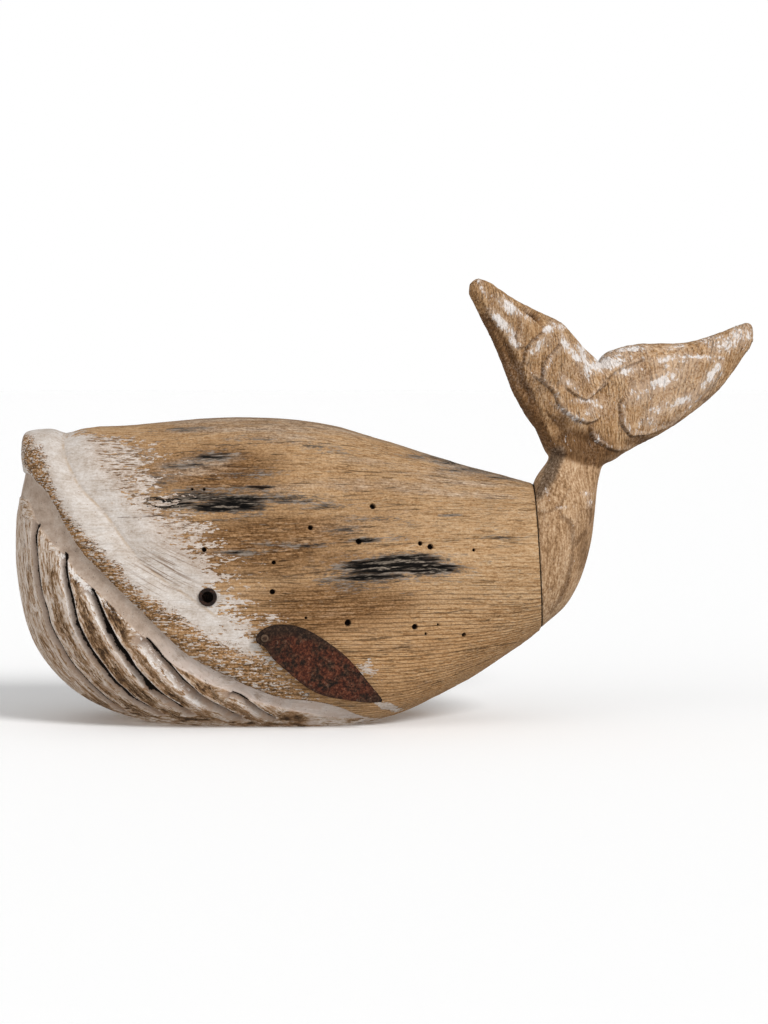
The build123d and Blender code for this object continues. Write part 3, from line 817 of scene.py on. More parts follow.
# growth-ring steps; the side to the left of their run stands higher
STEPS = [[(588, 420), (592, 432), (598, 441), (607, 449), (617, 451.5), (632, 447)],
         [(548, 327), (541, 333), (528, 344), (524, 354), (523.5, 366)],
         [(520, 312), (518, 318), (518.5, 326), (516, 338), (517, 350)],
         [(562, 341), (556, 348), (546, 358), (541, 370), (539, 383)],
         [(525, 372), (539, 380), (553, 392), (557, 403), (564, 412), (576.5, 420.8), (588, 423.8), (598, 420), (605, 410)],
         [(563, 378), (565, 389), (573, 395), (582, 400), (588, 401), (596, 394), (604, 386), (612, 380)],
         [(590, 404), (594, 396), (601, 384), (615, 372.5), (632.5, 365), (650, 358.5)]]
RIDGE = [(482, 296), (489, 311), (499, 325), (510, 341), (517.5, 352), (522.5, 364), (526, 376), (535, 391), (545, 415), (553, 436)]
CREASE = [(589, 357), (590, 375), (592, 392), (595, 410)]
NECK = [(549, 449), (559, 454.5), (568, 457), (577, 459.5), (589, 463), (601, 467)]
front_lines = [on_tail(s) for s in STEPS]
back_lines = [on_tail(s, True) for s in STEPS]
ring_pair = on_tail(RING, closed=True), on_tail(RING, True, closed=True)
ridge_pair = on_tail(RIDGE), on_tail(RIDGE, True)
crease_pair = on_tail(CREASE), on_tail(CREASE, True)
neck_pair = on_tail(NECK), on_tail(NECK, True)


def pair_distance(p, nrm, pair, reach=16.0):
    """Signed distance to the nearer of a front line and its copy on the back."""
    d0, u0 = distance_to(p, nrm, pair[0], reach)
    d1, u1 = distance_to(p, nrm, pair[1], reach)
    first = np.abs(d0) <= np.abs(d1)
    return np.where(first, d0, -d1), np.where(first, u0, u1)


TP = coords(tail.data) / MM
TN = normals(tail.data)
near = np.abs(pair_distance(TP, TN, ring_pair)[0])
for a, b in zip(front_lines, back_lines):
    near = np.minimum(near, np.abs(pair_distance(TP, TN, (a, b))[0]))
refine(tail.data, near < 1.2)
TP = coords(tail.data) / MM
TN = smooth_normals(tail.data, 3)
tx, ty, tz = TP.T
TVX, TVY = side_view(TP)
face_on = smooth(0.35, 0.8, np.abs(TN @ F_FRONT))
twarp = 3.0 * (fbm(TP / np.array([22, 22, 50]), 2, 41) - 0.5)
lean = 0.30 * smooth(150, 190, tx) * (tz - 110)
across = (TP - np.array([AXIS_X, 0, 0])) @ F_ALONG
depth_in = (TP - np.array([AXIS_X, 0, 0])) @ F_FRONT
tgrain = np.stack([tz, across - lean + twarp, 0.75 * depth_in], 1)
fl = smooth(104, 114, tz)
th = np.zeros(len(TP))
ring_d, ring_u = pair_distance(TP, TN, ring_pair)
soft_w = 0.55 + 2.2 * smooth(0.30, 0.46, ring_u) * (1 - smooth(0.93, 1.0, ring_u))
th += 1.5 * smooth(-0.25, soft_w, ring_d) * np.where(np.abs(ring_d) < 15.9, 1, 0) * np.exp(-np.maximum(ring_d, 0) / 14)
# the foot of the ring's step gets a shallow dip and a dark line; the line's colour is painted shade
step_foot_shade_line = np.exp(-((ring_d + 0.2) / 0.6) ** 2) * (1 - 0.9 * smooth(0.30, 0.42, ring_u) * (1 - smooth(0.93, 1, ring_u)))
th -= 0.25 * step_foot_shade_line
worn_edge = np.exp(-((ring_d - 1.2) / 1.3) ** 2)
wobble = 0.7 + 0.6 * fbm(TP / 6.0, 2, 45)
for i, pair in enumerate(zip(front_lines, back_lines)):
    d, u = pair_distance(TP, TN, pair)
    ends_ = smooth(0, 0.16, u) * (1 - smooth(0.9, 1.0, u)) * (np.abs(d) < 15.9) * wobble
    k = (1.0, 1.25, 1.15, 1.2, 1.1, 0.9, 0.9)[i]
    th += 1.5 * k * ends_ * np.where(d > 0, smooth(0, 0.7, d) * np.exp(-d / 6.0), 0)
    line = np.exp(-((d + 0.1) / 0.55) ** 2) * ends_
    th -= 0.12 * k * line
    step_foot_shade_line = np.maximum(step_foot_shade_line, line * (0.95 if i in (0, 1, 3, 4) else 0.8))
    worn_edge = np.maximum(worn_edge, np.exp(-((d - 1.0) / 1.0) ** 2) * ends_ * 0.9)
rd, ru = pair_distance(TP, TN, ridge_pair)
r_end = smooth(0, 0.06, ru) * (1 - smooth(0.9, 1, ru)) * (np.abs(rd) < 15.9)
th += 0.35 * r_end * np.exp(-(rd / 1.2) ** 2) - 0.42 * r_end * face_on * np.where(rd < 0, np.minimum(-rd, 9.0), 0)
hd, hu = pair_distance(TP, TN, (front_lines[4], back_lines[4]))
h_end = smooth(0, 0.10, hu) * (1 - smooth(0.75, 1, hu)) * (np.abs(hd) < 15.9)
th -= 0.30 * h_end * face_on * np.where(hd < 0, np.minimum(-hd, 6.0) * (1 - smooth(6.0, 12.0, -hd)), 0)
cd, cu = pair_distance(TP, TN, crease_pair)
th -= 2.1 * np.exp(-(cd / 3.8) ** 2) * (1 - 0.6 * smooth(0.6, 1, cu))
nd, nu = pair_distance(TP, TN, neck_pair)
neck_in = np.where(nd > 0, np.exp(-(nd / 10) ** 2), np.exp(-(nd / 7.5) ** 2)) * face_on * (1 - smooth(0.72, 0.99, nu))
th -= (3.4 * neck_in + 0.25 * np.exp(-(nd / 1.2) ** 2) * face_on) * (np.abs(nd) < 15.9)
th -= 0.95 * np.exp(-((tx - 143.8) / 3.0) ** 2 - ((tz - 103.4) / 2.6) ** 2)
trings = fbm(tgrain * np.array([0.02, 0.38, 0.38]), 3, 43)
tridges = fbm(tgrain * np.array([0.07, 0.85, 0.85]), 2, 47)
th += (0.35 * (trings - 0.5)) * (0.35 + 0.65 * fl) + 0.26 * (tridges - 0.5) * (0.2 + 0.8 * fl)
th += 0.8 * (fbm(TP / 22.0, 2, 53) - 0.5)
t_joint = (TP - JOINT_MID) @ JOINT_N
th *= np.where(tz < 100, smooth(0.0, 0.8, t_joint), 1)
tmoved = TP + TN * th[:, None]
tradial = np.stack([np.zeros(len(TP)), ty, tz - 66], 1)
tradial /= np.linalg.norm(tradial, axis=1)[:, None] + 1e-9
at_joint = (np.abs(TN @ JOINT_N) < 0.85) & (tz < 100)
tmoved -= tradial * (np.exp(-(t_joint / 0.8) ** 2) * 0.25 * at_joint)[:, None]
under = np.where(tz < 97, np.minimum((tmoved - JOINT_MID) @ JOINT_N, 0), 0)
tmoved -= under[:, None] * JOINT_N
high = tmoved[:, 2] > 168
tmoved[high, 2] = 168 + (tmoved[high, 2] - 168) * min(1, 10.85 / (tmoved[:, 2].max() - 168))
far_x = tmoved[:, 0] > 198
tmoved[far_x, 0] = 198 + (tmoved[far_x, 0] - 198) * min(1, 8.0 / (tmoved[:, 0].max() - 198))
set_coords(tail.data, tmoved * MM)

# whitewash left on the flukes and stains on the stock, with painted shade and painted light on the flukes
PATCHES = [(479, 279, 8, 4, 60, 0.55), (509.5, 307.5, 12, 4.5, 42, 1.0), (503, 324, 17, 4.5, 46, 1.05), (514, 342, 8, 3.5, 60, 0.95),
           (529, 316, 8, 5, 30, 0.62), (549, 328, 7, 3.5, -40, 1.0), (561, 327, 4, 4, 0, 0.85), (565.7, 344, 8, 4, 62, 1.05),
           (577.5, 358, 8, 3.5, 50, 1.0), (585, 355, 11, 4, 60, 1.15), (590, 368, 9, 4.5, 90, 1.0), (568, 384, 9, 3.5, 40, 0.7),
           (586, 401, 14, 2.4, 0, 0.85), (592, 411, 12, 6, -10, 0.58), (569, 415, 15, 2.2, 36, 0.7), (537, 345, 11, 5, -45, 0.68),
           (606, 363, 16, 7.5, -15, 1.15), (629, 350, 14, 2.6, -6, 1.0), (626, 371, 10, 3.5, -15, 1.0), (674, 347, 9, 2.4, -10, 0.85),
           (667, 359, 11, 3, -10, 1.0), (695, 357, 20, 2.0, 0, 0.9), (661, 381, 15, 5.5, -30, 1.0), (680, 401, 13, 3.4, -30, 1.0),
           (710, 375, 16, 3.4, -52, 1.05), (725, 345, 14, 7, -15, 0.78), (740, 335, 12, 9, -30, 0.80), (710, 340, 10, 3.5, -15, 0.7),
           (637, 395, 14, 8, -30, 0.5), (657, 410, 14, 5, -30, 0.6), (597, 406, 8, 3.5, 0, 0.6), (646, 421, 13, 6, -20, 0.45),
           (587, 494, 5, 3, 0, 0.62), (590, 503, 3, 4, 0, 0.58), (562, 508, 5, 2, 0, 0.62), (546, 492, 4, 4, 0, 0.48), (484, 291, 9, 3, 60, 0.6)]
STAINS = [([(563, 517), (571, 523), (573.5, 540), (572, 560), (568, 580), (560, 598), (552, 612)], 2.0, 0.8),
          ([(537, 511), (548, 511.5), (557, 508), (563, 500), (570, 489)], 1.3, 0.75),
          ([(576, 545), (580, 538), (586, 532)], 1.8, 0.9), ([(549, 590), (554, 586)], 1.2, 0.7),
          ([(551, 604), (557, 601), (562, 596)], 1.3, 0.6), ([(590, 496), (592, 510), (590, 525)], 1.6, 0.6),
          ([(522, 362), (523.5, 376), (525, 388), (530, 404), (535.5, 417)], 0.8, 1.25), ([(542, 356), (541.5, 367), (540.8, 379)], 0.8, 1.2),
          ([(547, 412), (553, 421), (562, 431)], 0.9, 1.1)]
t_phase = (tgrain[:, 1] + 1.2 * (fbm(TP / np.array([14, 14, 70]), 2, 49) - 0.5)) / 1.5
# pale: a whitish veil over the right lobe, and a lightening of the left lobe's side turned from the light, which is
# painted light
pale = np.clip(1.1 * bell(TVX, 672, 66) * bell(TVY, 385, 46) + 0.5 * bell(TVX, 545, 40) * bell(TVY, 370, 50), 0, 1)
wash = np.zeros(len(TP))
for a, b, sa, sb, slope_, k in PATCHES:
    ca, sn = math.cos(math.radians(slope_)), math.sin(math.radians(slope_))
    lo, ac = (TVX - a) * ca + (TVY - b) * sn, (TVY - b) * ca - (TVX - a) * sn
    wash = np.maximum(wash, k * np.exp(-0.6 * ((lo / sa) ** 2 + (ac / sb) ** 2)))
stain = np.zeros(len(TP))
for line, w, k in STAINS:
    d, _ = pair_distance(TP, TN, (on_tail(line), on_tail(line, True)))
    stain = np.maximum(stain, k * np.exp(-(d / w) ** 2))
ashen = 0.7 * bell(TVX, 556, 9) * bell(TVY, 452, 8)
for k_ in np.linspace(0, 1, 9):
    ashen = np.maximum(ashen, (1.2 - 0.4 * k_) * bell(TVX, 558 - 18 * k_, 8) * bell(TVY, 454 + 40 * k_, 8))
# darker brown below the neck line, under the flukes and on the left bevel: partly stain, partly painted shade
dark = 0.9 * np.where(nd > 0, np.exp(-(nd / 9) ** 2), np.exp(-(nd / 1.2) ** 2)) * smooth(545, 556, TVX)
for a, b, sa, sb, k in ((580, 442, 29, 13, 1.35), (600, 453, 26, 8, 1.15), (644, 440, 26, 5, 0.85), (676, 422, 26, 5, 0.65),
                        (704, 400, 18, 5, 0.6), (560, 424, 14, 18, 0.7), (730, 360, 8, 16, 0.4), (583, 550, 8, 32, 0.62), (592, 512, 5, 18, 0.5)):
    dark = np.maximum(dark, k * bell(TVX, a, sa) * bell(TVY, b, sb))
dark = np.maximum(dark, 0.85 * np.where((rd < 0) & (np.abs(rd) < 15.9), smooth(-0.3, 2.2, -rd), 0) * fl * smooth(0.04, 0.16, ru))
me = tail.data
shade_smooth(me)
for name, values in (("grain", tgrain), ("wash", wash), ("low", step_foot_shade_line), ("worn", worn_edge * fl), ("dark", np.clip(dark, 0, 1)), ("ashen", ashen),
                     ("stain", stain), ("ringph", t_phase), ("pale", pale), ("fluke", fl), ("joint", np.where(tz < 100, t_joint, 20)), ("ringd", ring_d)):
    put(me, name, values)


# ------------------------------------------------------------------ materials
def srgb(r, g, b):
    def c(v):
        v /= 255.0
        return v / 12.92 if v <= 0.04045 else ((v + 0.055) / 1.055) ** 2.4
    return (c(r), c(g), c(b), 1.0)


class Nodes:
    def __init__(self, name):
        self.mat = bpy.data.materials.new(name)
        self.mat.use_nodes = True
        self.t = self.mat.node_tree
        self.t.nodes.clear()
        self.out = self.t.nodes.new("ShaderNodeOutputMaterial")
        self.bsdf = self.t.nodes.new("ShaderNodeBsdfPrincipled")
        self.t.links.new(self.bsdf.outputs[0], self.out.inputs[0])

    def link(self, a, b):
        self.t.links.new(a, b)

    def feed(self, socket, value):
        if hasattr(value, "links"):
            self.link(value, socket)
        else:
            socket.default_value = value

    def attr(self, name, vector=False):
        n = self.t.nodes.new("ShaderNodeAttribute")
        n.attribute_name = name
        return n.outputs["Vector" if vector else "Fac"]

    def place(self):
        return self.scaled(self.t.nodes.new("ShaderNodeTexCoord").outputs["Object"], (1000, 1000, 1000))

    def scaled(self, vec, xyz):
        n = self.t.nodes.new("ShaderNodeVectorMath")
        n.operation = "MULTIPLY"
        self.link(vec, n.inputs[0])
        n.inputs[1].default_value = xyz
        return n.outputs[0]

    def noise(self, vec, xyz, detail=3.0, rough=0.5, distortion=0.0):
        n = self.t.nodes.new("ShaderNodeTexNoise")
        self.link(self.scaled(vec, xyz), n.inputs["Vector"])
        n.inputs["Scale"].default_value = 1.0
        n.inputs["Detail"].default_value = detail
        n.inputs["Roughness"].default_value = rough
        n.inputs["Distortion"].default_value = distortion
        return n.outputs["Fac"]

    def math(self, op, a, b=0.0, clamp=False):
        n = self.t.nodes.new("ShaderNodeMath")
        n.operation = op
        n.use_clamp = clamp
        self.feed(n.inputs[0], a)
        self.feed(n.inputs[1], b)
        return n.outputs[0]

    def add(self, *terms):
        out = terms[0]
        for t in terms[1:]:
            out = self.math("ADD", out, t)
        return out

    def mul(self, a, b):
        return self.math("MULTIPLY", a, b)

    def sub(self, a, b):
        return self.math("SUBTRACT", a, b)

    def swing(self, n, amount):
        """A noise brought to zero mean, times an amount."""
        return self.mul(self.add(n, -0.5), amount)

    def step(self, lo, hi, value, out_lo=0.0, out_hi=1.0):
        n = self.t.nodes.new("ShaderNodeMapRange")
        n.interpolation_type = "SMOOTHSTEP"
        self.feed(n.inputs["Value"], value)
        self.feed(n.inputs["From Min"], lo)
        self.feed(n.inputs["From Max"], hi)
        n.inputs["To Min"].default_value = out_lo
        n.inputs["To Max"].default_value = out_hi
        return n.outputs[0]

    def shade(self, fac, colour, by):
        """The colour darkened by a factor for each channel."""
        return self.mix(fac, colour, self.mix(1.0, colour, (by[0], by[1], by[2], 1.0), "MULTIPLY"))

    def line(self, n, width):
        """Thin lines where a noise passes its middle."""
        return self.step(width, 0.0, self.math("ABSOLUTE", self.add(n, -0.5)))

    def mix(self, fac, a, b, blend="MIX"):
        n = self.t.nodes.new("ShaderNodeMix")
        n.data_type = "RGBA"
        n.blend_type = blend
        n.clamp_factor = True
        self.feed(n.inputs[0], fac)
        self.feed(n.inputs[6], a)
        self.feed(n.inputs[7], b)
        return n.outputs[2]

    def ramp(self, fac, stops):
        n = self.t.nodes.new("ShaderNodeValToRGB")
        e = n.color_ramp.elements
        while len(e) < len(stops):
            e.new(0.5)
        for q, (pos, col) in zip(e, stops):
            q.position = pos
            q.color = srgb(*col)
        self.link(fac, n.inputs[0])
        return n.outputs[0]

    def bump(self, height, distance, strength=1.0):
        n = self.t.nodes.new("ShaderNodeBump")
        n.inputs["Strength"].default_value = strength
        n.inputs["Distance"].default_value = distance
        self.link(height, n.inputs["Height"])
        return n.outputs[0]


def grain_set(m, gr):
    """Grain noises of brushed, weathered wood, spread to 0..1."""
    fine = m.step(0.34, 0.66, m.noise(gr, (0.12, 1.05, 1.05), 2, 0.55))
    broad = m.step(0.33, 0.67, m.noise(gr, (0.016, 0.17, 0.17), 2, 0.5))
    hair = m.step(0.34, 0.66, m.noise(gr, (0.42, 1.55, 1.55), 2, 0.6))
    grit = m.step(0.36, 0.64, m.noise(gr, (1.05, 1.30, 1.30), 2, 0.65))
    long_ = m.noise(gr, (0.010, 0.36, 0.36), 2, 0.6)
    gaps = m.step(0.48, 0.60, m.noise(gr, (0.06, 0.25, 0.25), 3, 0.6))
    lines = m.mul(m.line(long_, 0.013), gaps)
    dash = m.step(0.62, 0.675, m.noise(gr, (0.10, 1.05, 1.05), 3, 0.6))
    pores = m.step(0.63, 0.68, m.noise(gr, (0.70, 1.3, 1.3), 2, 0.6))
    return fine, broad, hair, grit, lines, dash, pores


WOOD = [(0.05, (129, 96, 63)), (0.28, (157, 122, 85)), (0.48, (174, 140, 103)), (0.68, (185, 153, 117)), (0.95, (205, 178, 146))]
DEEP = [(0.08, (60, 39, 22)), (0.32, (100, 70, 41)), (0.55, (131, 97, 63)), (0.85, (164, 129, 93))]
GREYED = [(0.10, (84, 69, 57)), (0.40, (146, 124, 103)), (0.70, (187, 165, 143)), (0.95, (212, 195, 176))]


def body_material():
    m = Nodes("weathered_body_wood")
    gr = m.attr("grain", True)
    pos = m.place()
    fine, broad, hair, grit, lines, dash, pores = grain_set(m, gr)
    patchy = m.noise(pos, (0.020, 0.035, 0.04), 3, 0.5)
    speck = m.noise(pos, (1.1, 1.1, 1.1), 4, 0.65)
    blot = m.noise(pos, (0.16, 0.2, 0.2), 4, 0.6)
    val_ = m.add(m.mul(fine, 0.30), m.mul(broad, 0.18), m.mul(hair, 0.28), m.mul(grit, 0.24))
    wood = m.ramp(val_, WOOD)
    tone = m.add(m.attr("tone"), m.swing(patchy, 1.2), m.swing(broad, 0.45), m.swing(fine, 0.35), m.swing(hair, 0.3))
    deep = m.step(0.10, 0.90, tone)
    wood = m.mix(deep, wood, m.ramp(val_, DEEP))
    greyed = m.add(m.attr("grey"), m.swing(broad, 0.5), m.swing(blot, 0.8))
    wood = m.mix(m.mul(m.step(0.15, 0.95, greyed), 0.8), wood, m.ramp(val_, GREYED))
    # growth-ring lines, coming and going
    saw = m.math("FRACT", m.add(m.attr("ringph"), m.swing(m.noise(gr, (0.010, 0.12, 0.12), 2, 0.5), 1.6)))
    ring = m.mul(m.step(0.34, 0.05, saw), m.step(0.0, 0.05, saw))
    ring = m.mul(ring, m.step(0.34, 0.60, m.add(m.mul(m.noise(gr, (0.045, 0.30, 0.30), 3, 0.6), 0.7), m.mul(m.attr("ringk"), 0.3))))
    wood = m.mix(m.mul(m.mul(ring, m.add(m.mul(hair, 0.5), 0.5)), m.add(m.mul(m.attr("ringk"), 0.40), 0.32)), wood, srgb(76, 49, 26))
    wood = m.mix(m.mul(lines, 0.70), wood, srgb(50, 34, 21))
    wood = m.mix(m.mul(dash, m.add(m.mul(deep, 0.45), 0.40)), wood, srgb(50, 34, 22))
    fleck = m.step(0.555, 0.64, m.noise(gr, (0.14, 1.00, 1.00), 3, 0.62))
    wood = m.mix(m.mul(fleck, m.add(m.mul(deep, 0.55), 0.10)), wood, srgb(62, 42, 25))
    wood = m.mix(m.mul(pores, 0.36), wood, srgb(84, 58, 35))
    # black checks: grey fibres round a black core
    chk = m.attr("check")
    shred = m.noise(gr, (0.035, 0.50, 0.50), 3, 0.6)
    shred2 = m.noise(gr, (0.085, 1.05, 1.05), 3, 0.6)
    torn = m.add(chk, m.swing(shred, 1.0), m.swing(shred2, 1.0), m.swing(fine, 0.16))
    fibre = m.step(0.36, 0.64, m.noise(gr, (0.10, 1.00, 1.00), 3, 0.6))
    ash = m.ramp(m.add(m.mul(fibre, 0.6), m.mul(hair, 0.4)), [(0.15, (34, 30, 28)), (0.5, (78, 71, 66)), (0.85, (132, 122, 113))])
    haze = m.step(0.14, 0.52, m.add(chk, m.swing(shred, 0.70), m.swing(hair, 0.30), m.swing(fine, 0.20)))
    wood = m.mix(m.mul(haze, 0.88), wood, ash)
    core = m.ramp(m.add(m.mul(fibre, 0.7), m.mul(hair, 0.3)), [(0.28, (7, 5, 4)), (0.55, (17, 14, 11)), (0.72, (54, 48, 42)), (0.95, (130, 118, 105))])
    wood = m.mix(m.step(0.42, 0.74, m.add(torn, m.swing(hair, 0.12))), wood, core)
    slit = m.mul(m.step(0.12, -0.06, m.sub(m.math("ABSOLUTE", m.attr("cracks2")), m.mul(m.attr("crackw"), m.add(m.mul(hair, 0.9), 0.5)))), m.step(0.02, 0.10, m.attr("crackw")))
    slit = m.mul(slit, m.step(0.36, 0.56, m.noise(gr, (0.07, 0.3, 0.3), 3, 0.6)))
    wood = m.mix(m.mul(slit, 0.66), wood, srgb(50, 34, 22))
    height = m.t.nodes.new("ShaderNodeVectorMath")
    height.operation = "DOT_PRODUCT"
    m.link(pos, height.inputs[0])
    height.inputs[1].default_value = (0.0, 0.0, 1.0)
    wood = m.shade(m.step(58.0, 26.0, height.outputs["Value"]), wood, (1.0, 0.935, 0.85))
    # white paint, broken along the grain
    flake = m.noise(gr, (0.06, 0.30, 0.30), 3, 0.6)
    flake2 = m.noise(gr, (0.30, 0.95, 0.95), 3, 0.62)
    flake3 = m.noise(gr, (0.85, 1.40, 1.40), 2, 0.6)
    painted = m.attr("painted")
    cover = m.add(painted, m.swing(flake, 56.0), m.swing(flake2, 58.0), m.swing(flake3, 28.0))
    mask = m.step(-0.5, 0.5, cover)
    loose = m.mul(m.step(0.600, 0.620, m.add(m.mul(flake2, 0.6), m.mul(flake3, 0.4), m.mul(painted, 0.0020))), m.step(-44.0, -14.0, painted))
    mask = m.math("MAXIMUM", mask, m.mul(m.mul(loose, m.step(0.5, 0.2, chk)), 0.95))
    hairline = m.noise(gr, (0.22, 1.15, 1.15), 4, 0.62)
    open_ = m.step(0.0, 0.025, m.sub(m.add(hairline, m.mul(m.attr("cracks"), 0.185)), 0.700))
    pits = m.step(0.64, 0.67, speck)
    paint_edge_shadow = m.step(-4.5, -1.0, cover)
    streaks = m.mul(m.add(m.swing(fine, 0.11), m.swing(hair, 0.17), m.swing(grit, 0.11)), m.add(m.mul(m.attr("cracks"), 0.75), 0.40))
    whiteness = m.add(m.mul(blot, 0.5), streaks, m.mul(speck, 0.22), 0.175)
    white = m.ramp(whiteness, [(0.34, (156, 141, 127)), (0.46, (180, 168, 157)), (0.56, (194, 185, 177)), (0.68, (207, 201, 196))])
    pinkish = m.mul(m.step(4.0, 16.0, m.attr("vald")), 0.75)
    white = m.mix(pinkish, white, m.ramp(whiteness, [(0.32, (150, 129, 112)), (0.48, (174, 156, 141)), (0.66, (192, 179, 168))]))
    crease = m.mul(m.step(1.0, 0.1, m.math("ABSOLUTE", m.add(m.attr("vald"), 0.2))), m.step(0.35, 0.6, blot))
    white = m.mix(m.mul(crease, 0.5), white, srgb(160, 130, 92))
    strokes = m.mul(m.attr("tool"), m.step(0.53, 0.575, m.noise(m.attr("toolv", True), (0.05, 0.95, 0.95), 2, 0.5)))
    white = m.mix(m.mul(strokes, 0.85), white, srgb(116, 92, 71))
    white = m.shade(m.mul(m.sub(1.0, grit), 0.20), white, (0.72, 0.68, 0.64))
    white = m.mix(m.mul(open_, 0.92), white, m.mix(hair, srgb(92, 69, 48), srgb(150, 120, 90)))
    white = m.mix(m.mul(slit, 0.9), white, srgb(60, 42, 28))
    white = m.mix(m.mul(pits, 0.6), white, srgb(136, 108, 80))
    # wood darkened in a narrow band just outside the paint's edge: painted shadow of the paint's edge
    wood = m.shade(m.mul(m.sub(paint_edge_shadow, mask), 0.30), wood, (0.55, 0.50, 0.46))
    colour = m.mix(mask, wood, white)
    # rubbed, bare band along the lip
    scrape = m.noise(gr, (0.32, 1.3, 1.3), 4, 0.65)
    ragged = m.add(m.attr("band"), m.swing(scrape, 19.0), m.swing(blot, 10.0))
    rub = m.step(-0.25, 0.35, ragged)
    rubbed_wood = m.ramp(m.add(m.mul(val_, 0.6), m.mul(speck, 0.5)),
                         [(0.22, (46, 34, 23)), (0.42, (98, 73, 48)), (0.60, (148, 112, 75)), (0.8, (182, 147, 110))])
    rubbed_wood = m.shade(m.mul(m.sub(1.0, grit), 0.35), rubbed_wood, (0.58, 0.54, 0.50))
    rubbed_wood = m.mix(m.mul(dash, 0.6), rubbed_wood, srgb(46, 32, 21))
    remains = m.step(0.538, 0.562, m.add(m.mul(scrape, 0.75), m.mul(speck, 0.25)))
    rubbed_wood = m.mix(m.mul(remains, 0.85), rubbed_wood, white)
    colour = m.mix(rub, colour, rubbed_wood)
    # throat: wash worn off the pleats in streaks along them, pale wash on the long groove walls
    pl = m.attr("pleat", True)
    rake = m.noise(pl, (0.20, 1.05, 1.05), 4, 0.68)
    rake2 = m.noise(pl, (0.10, 0.55, 0.55), 3, 0.6)
    grit2 = m.step(0.36, 0.64, m.noise(pl, (0.85, 1.35, 1.35), 2, 0.65))
    streaky = m.step(0.34, 0.66, rake)
    score = m.mul(m.line(m.noise(pl, (0.02, 0.5, 0.5), 2, 0.6), 0.018), m.step(0.45, 0.55, m.noise(pl, (0.15, 0.5, 0.5), 3, 0.6)))
    run = m.add(m.mul(streaky, 0.42), m.mul(m.step(0.34, 0.66, rake2), 0.38), m.mul(grit2, 0.20))
    run = m.add(run, m.mul(m.attr("bare"), -0.56), 0.20)
    pleat = m.ramp(run, [(0.02, (54, 39, 27)), (0.20, (104, 79, 55)), (0.36, (142, 113, 85)), (0.50, (168, 145, 123)), (0.64, (189, 172, 157)),
                         (0.95, (208, 195, 184))])
    pleat = m.mix(m.mul(score, 0.75), pleat, srgb(52, 38, 27))
    pleat = m.mix(m.mul(m.step(0.655, 0.68, rake), 0.85), pleat, srgb(40, 29, 21))
    wt = m.attr("wall")
    # groove walls: white wash at the top, greying towards the floor as painted shade
    wallc = m.ramp(m.add(m.mul(wt, 0.8), m.swing(speck, 0.5)), [(0.02, (192, 180, 170)), (0.13, (222, 217, 213)), (0.24, (202, 193, 185)), (0.40, (166, 152, 141)), (0.72, (126, 112, 102))])
    grey_wall = m.ramp(m.add(m.mul(wt, 0.8), m.swing(speck, 0.6)), [(0.10, (172, 151, 134)), (0.45, (160, 141, 126)), (0.75, (126, 109, 96))])
    wallc = m.mix(m.attr("wallw"), grey_wall, wallc)
    wallc = m.shade(m.mul(m.sub(1.0, grit2), 0.25), wallc, (0.66, 0.63, 0.60))
    pleat = m.mix(m.step(-0.03, 0.08, m.add(wt, m.swing(rake, 2.2), m.swing(speck, 0.9), -0.14)), pleat, wallc)
    pleat = m.mix(m.mul(m.step(-0.2, 0.5, m.add(m.attr("shoulder"), m.swing(speck, 5.0), m.swing(rake, 5.0))), 0.9), pleat, srgb(214, 207, 201))
    # pale line on the pleat edges: painted highlight
    pleat = m.mix(m.mul(m.step(-0.1, 0.25, m.add(m.attr("edge"), m.swing(speck, 1.8))), 0.85), pleat, srgb(208, 197, 187))
    chan = m.ramp(m.add(m.mul(blot, 0.65), m.mul(speck, 0.35)),
                  [(0.34, (140, 121, 105)), (0.5, (164, 146, 131)), (0.66, (182, 167, 154))])
    chan = m.mix(m.mul(m.attr("rearw"), m.step(0.30, 0.60, m.add(m.mul(blot, 0.6), m.mul(rake, 0.4)))), chan, srgb(204, 192, 184))
    chan = m.mix(m.mul(m.step(0.63, 0.67, speck), 0.8), chan, srgb(72, 55, 43))
    pleat = m.mix(m.step(-0.2, 0.25, m.add(m.attr("chand"), m.swing(speck, 0.8))), pleat, chan)
    # browner, darker lower throat: partly dirt, partly painted shade
    pleat = m.mix(m.mul(m.attr("throat_dirt_and_shade"), m.step(0.42, 0.62, blot)), pleat, m.mix(0.4, pleat, srgb(142, 106, 74)))
    # near-black groove floors: painted shade with some dirt
    pleat = m.mix(m.step(-0.12, 0.12, m.add(m.attr("black"), m.swing(speck, 1.4), m.swing(rake, 1.4))), pleat, srgb(20, 14, 10))
    lipd = m.add(m.attr("lipd"), m.swing(speck, 1.0))
    colour = m.mix(m.step(0.15, -0.15, lipd), colour, pleat)
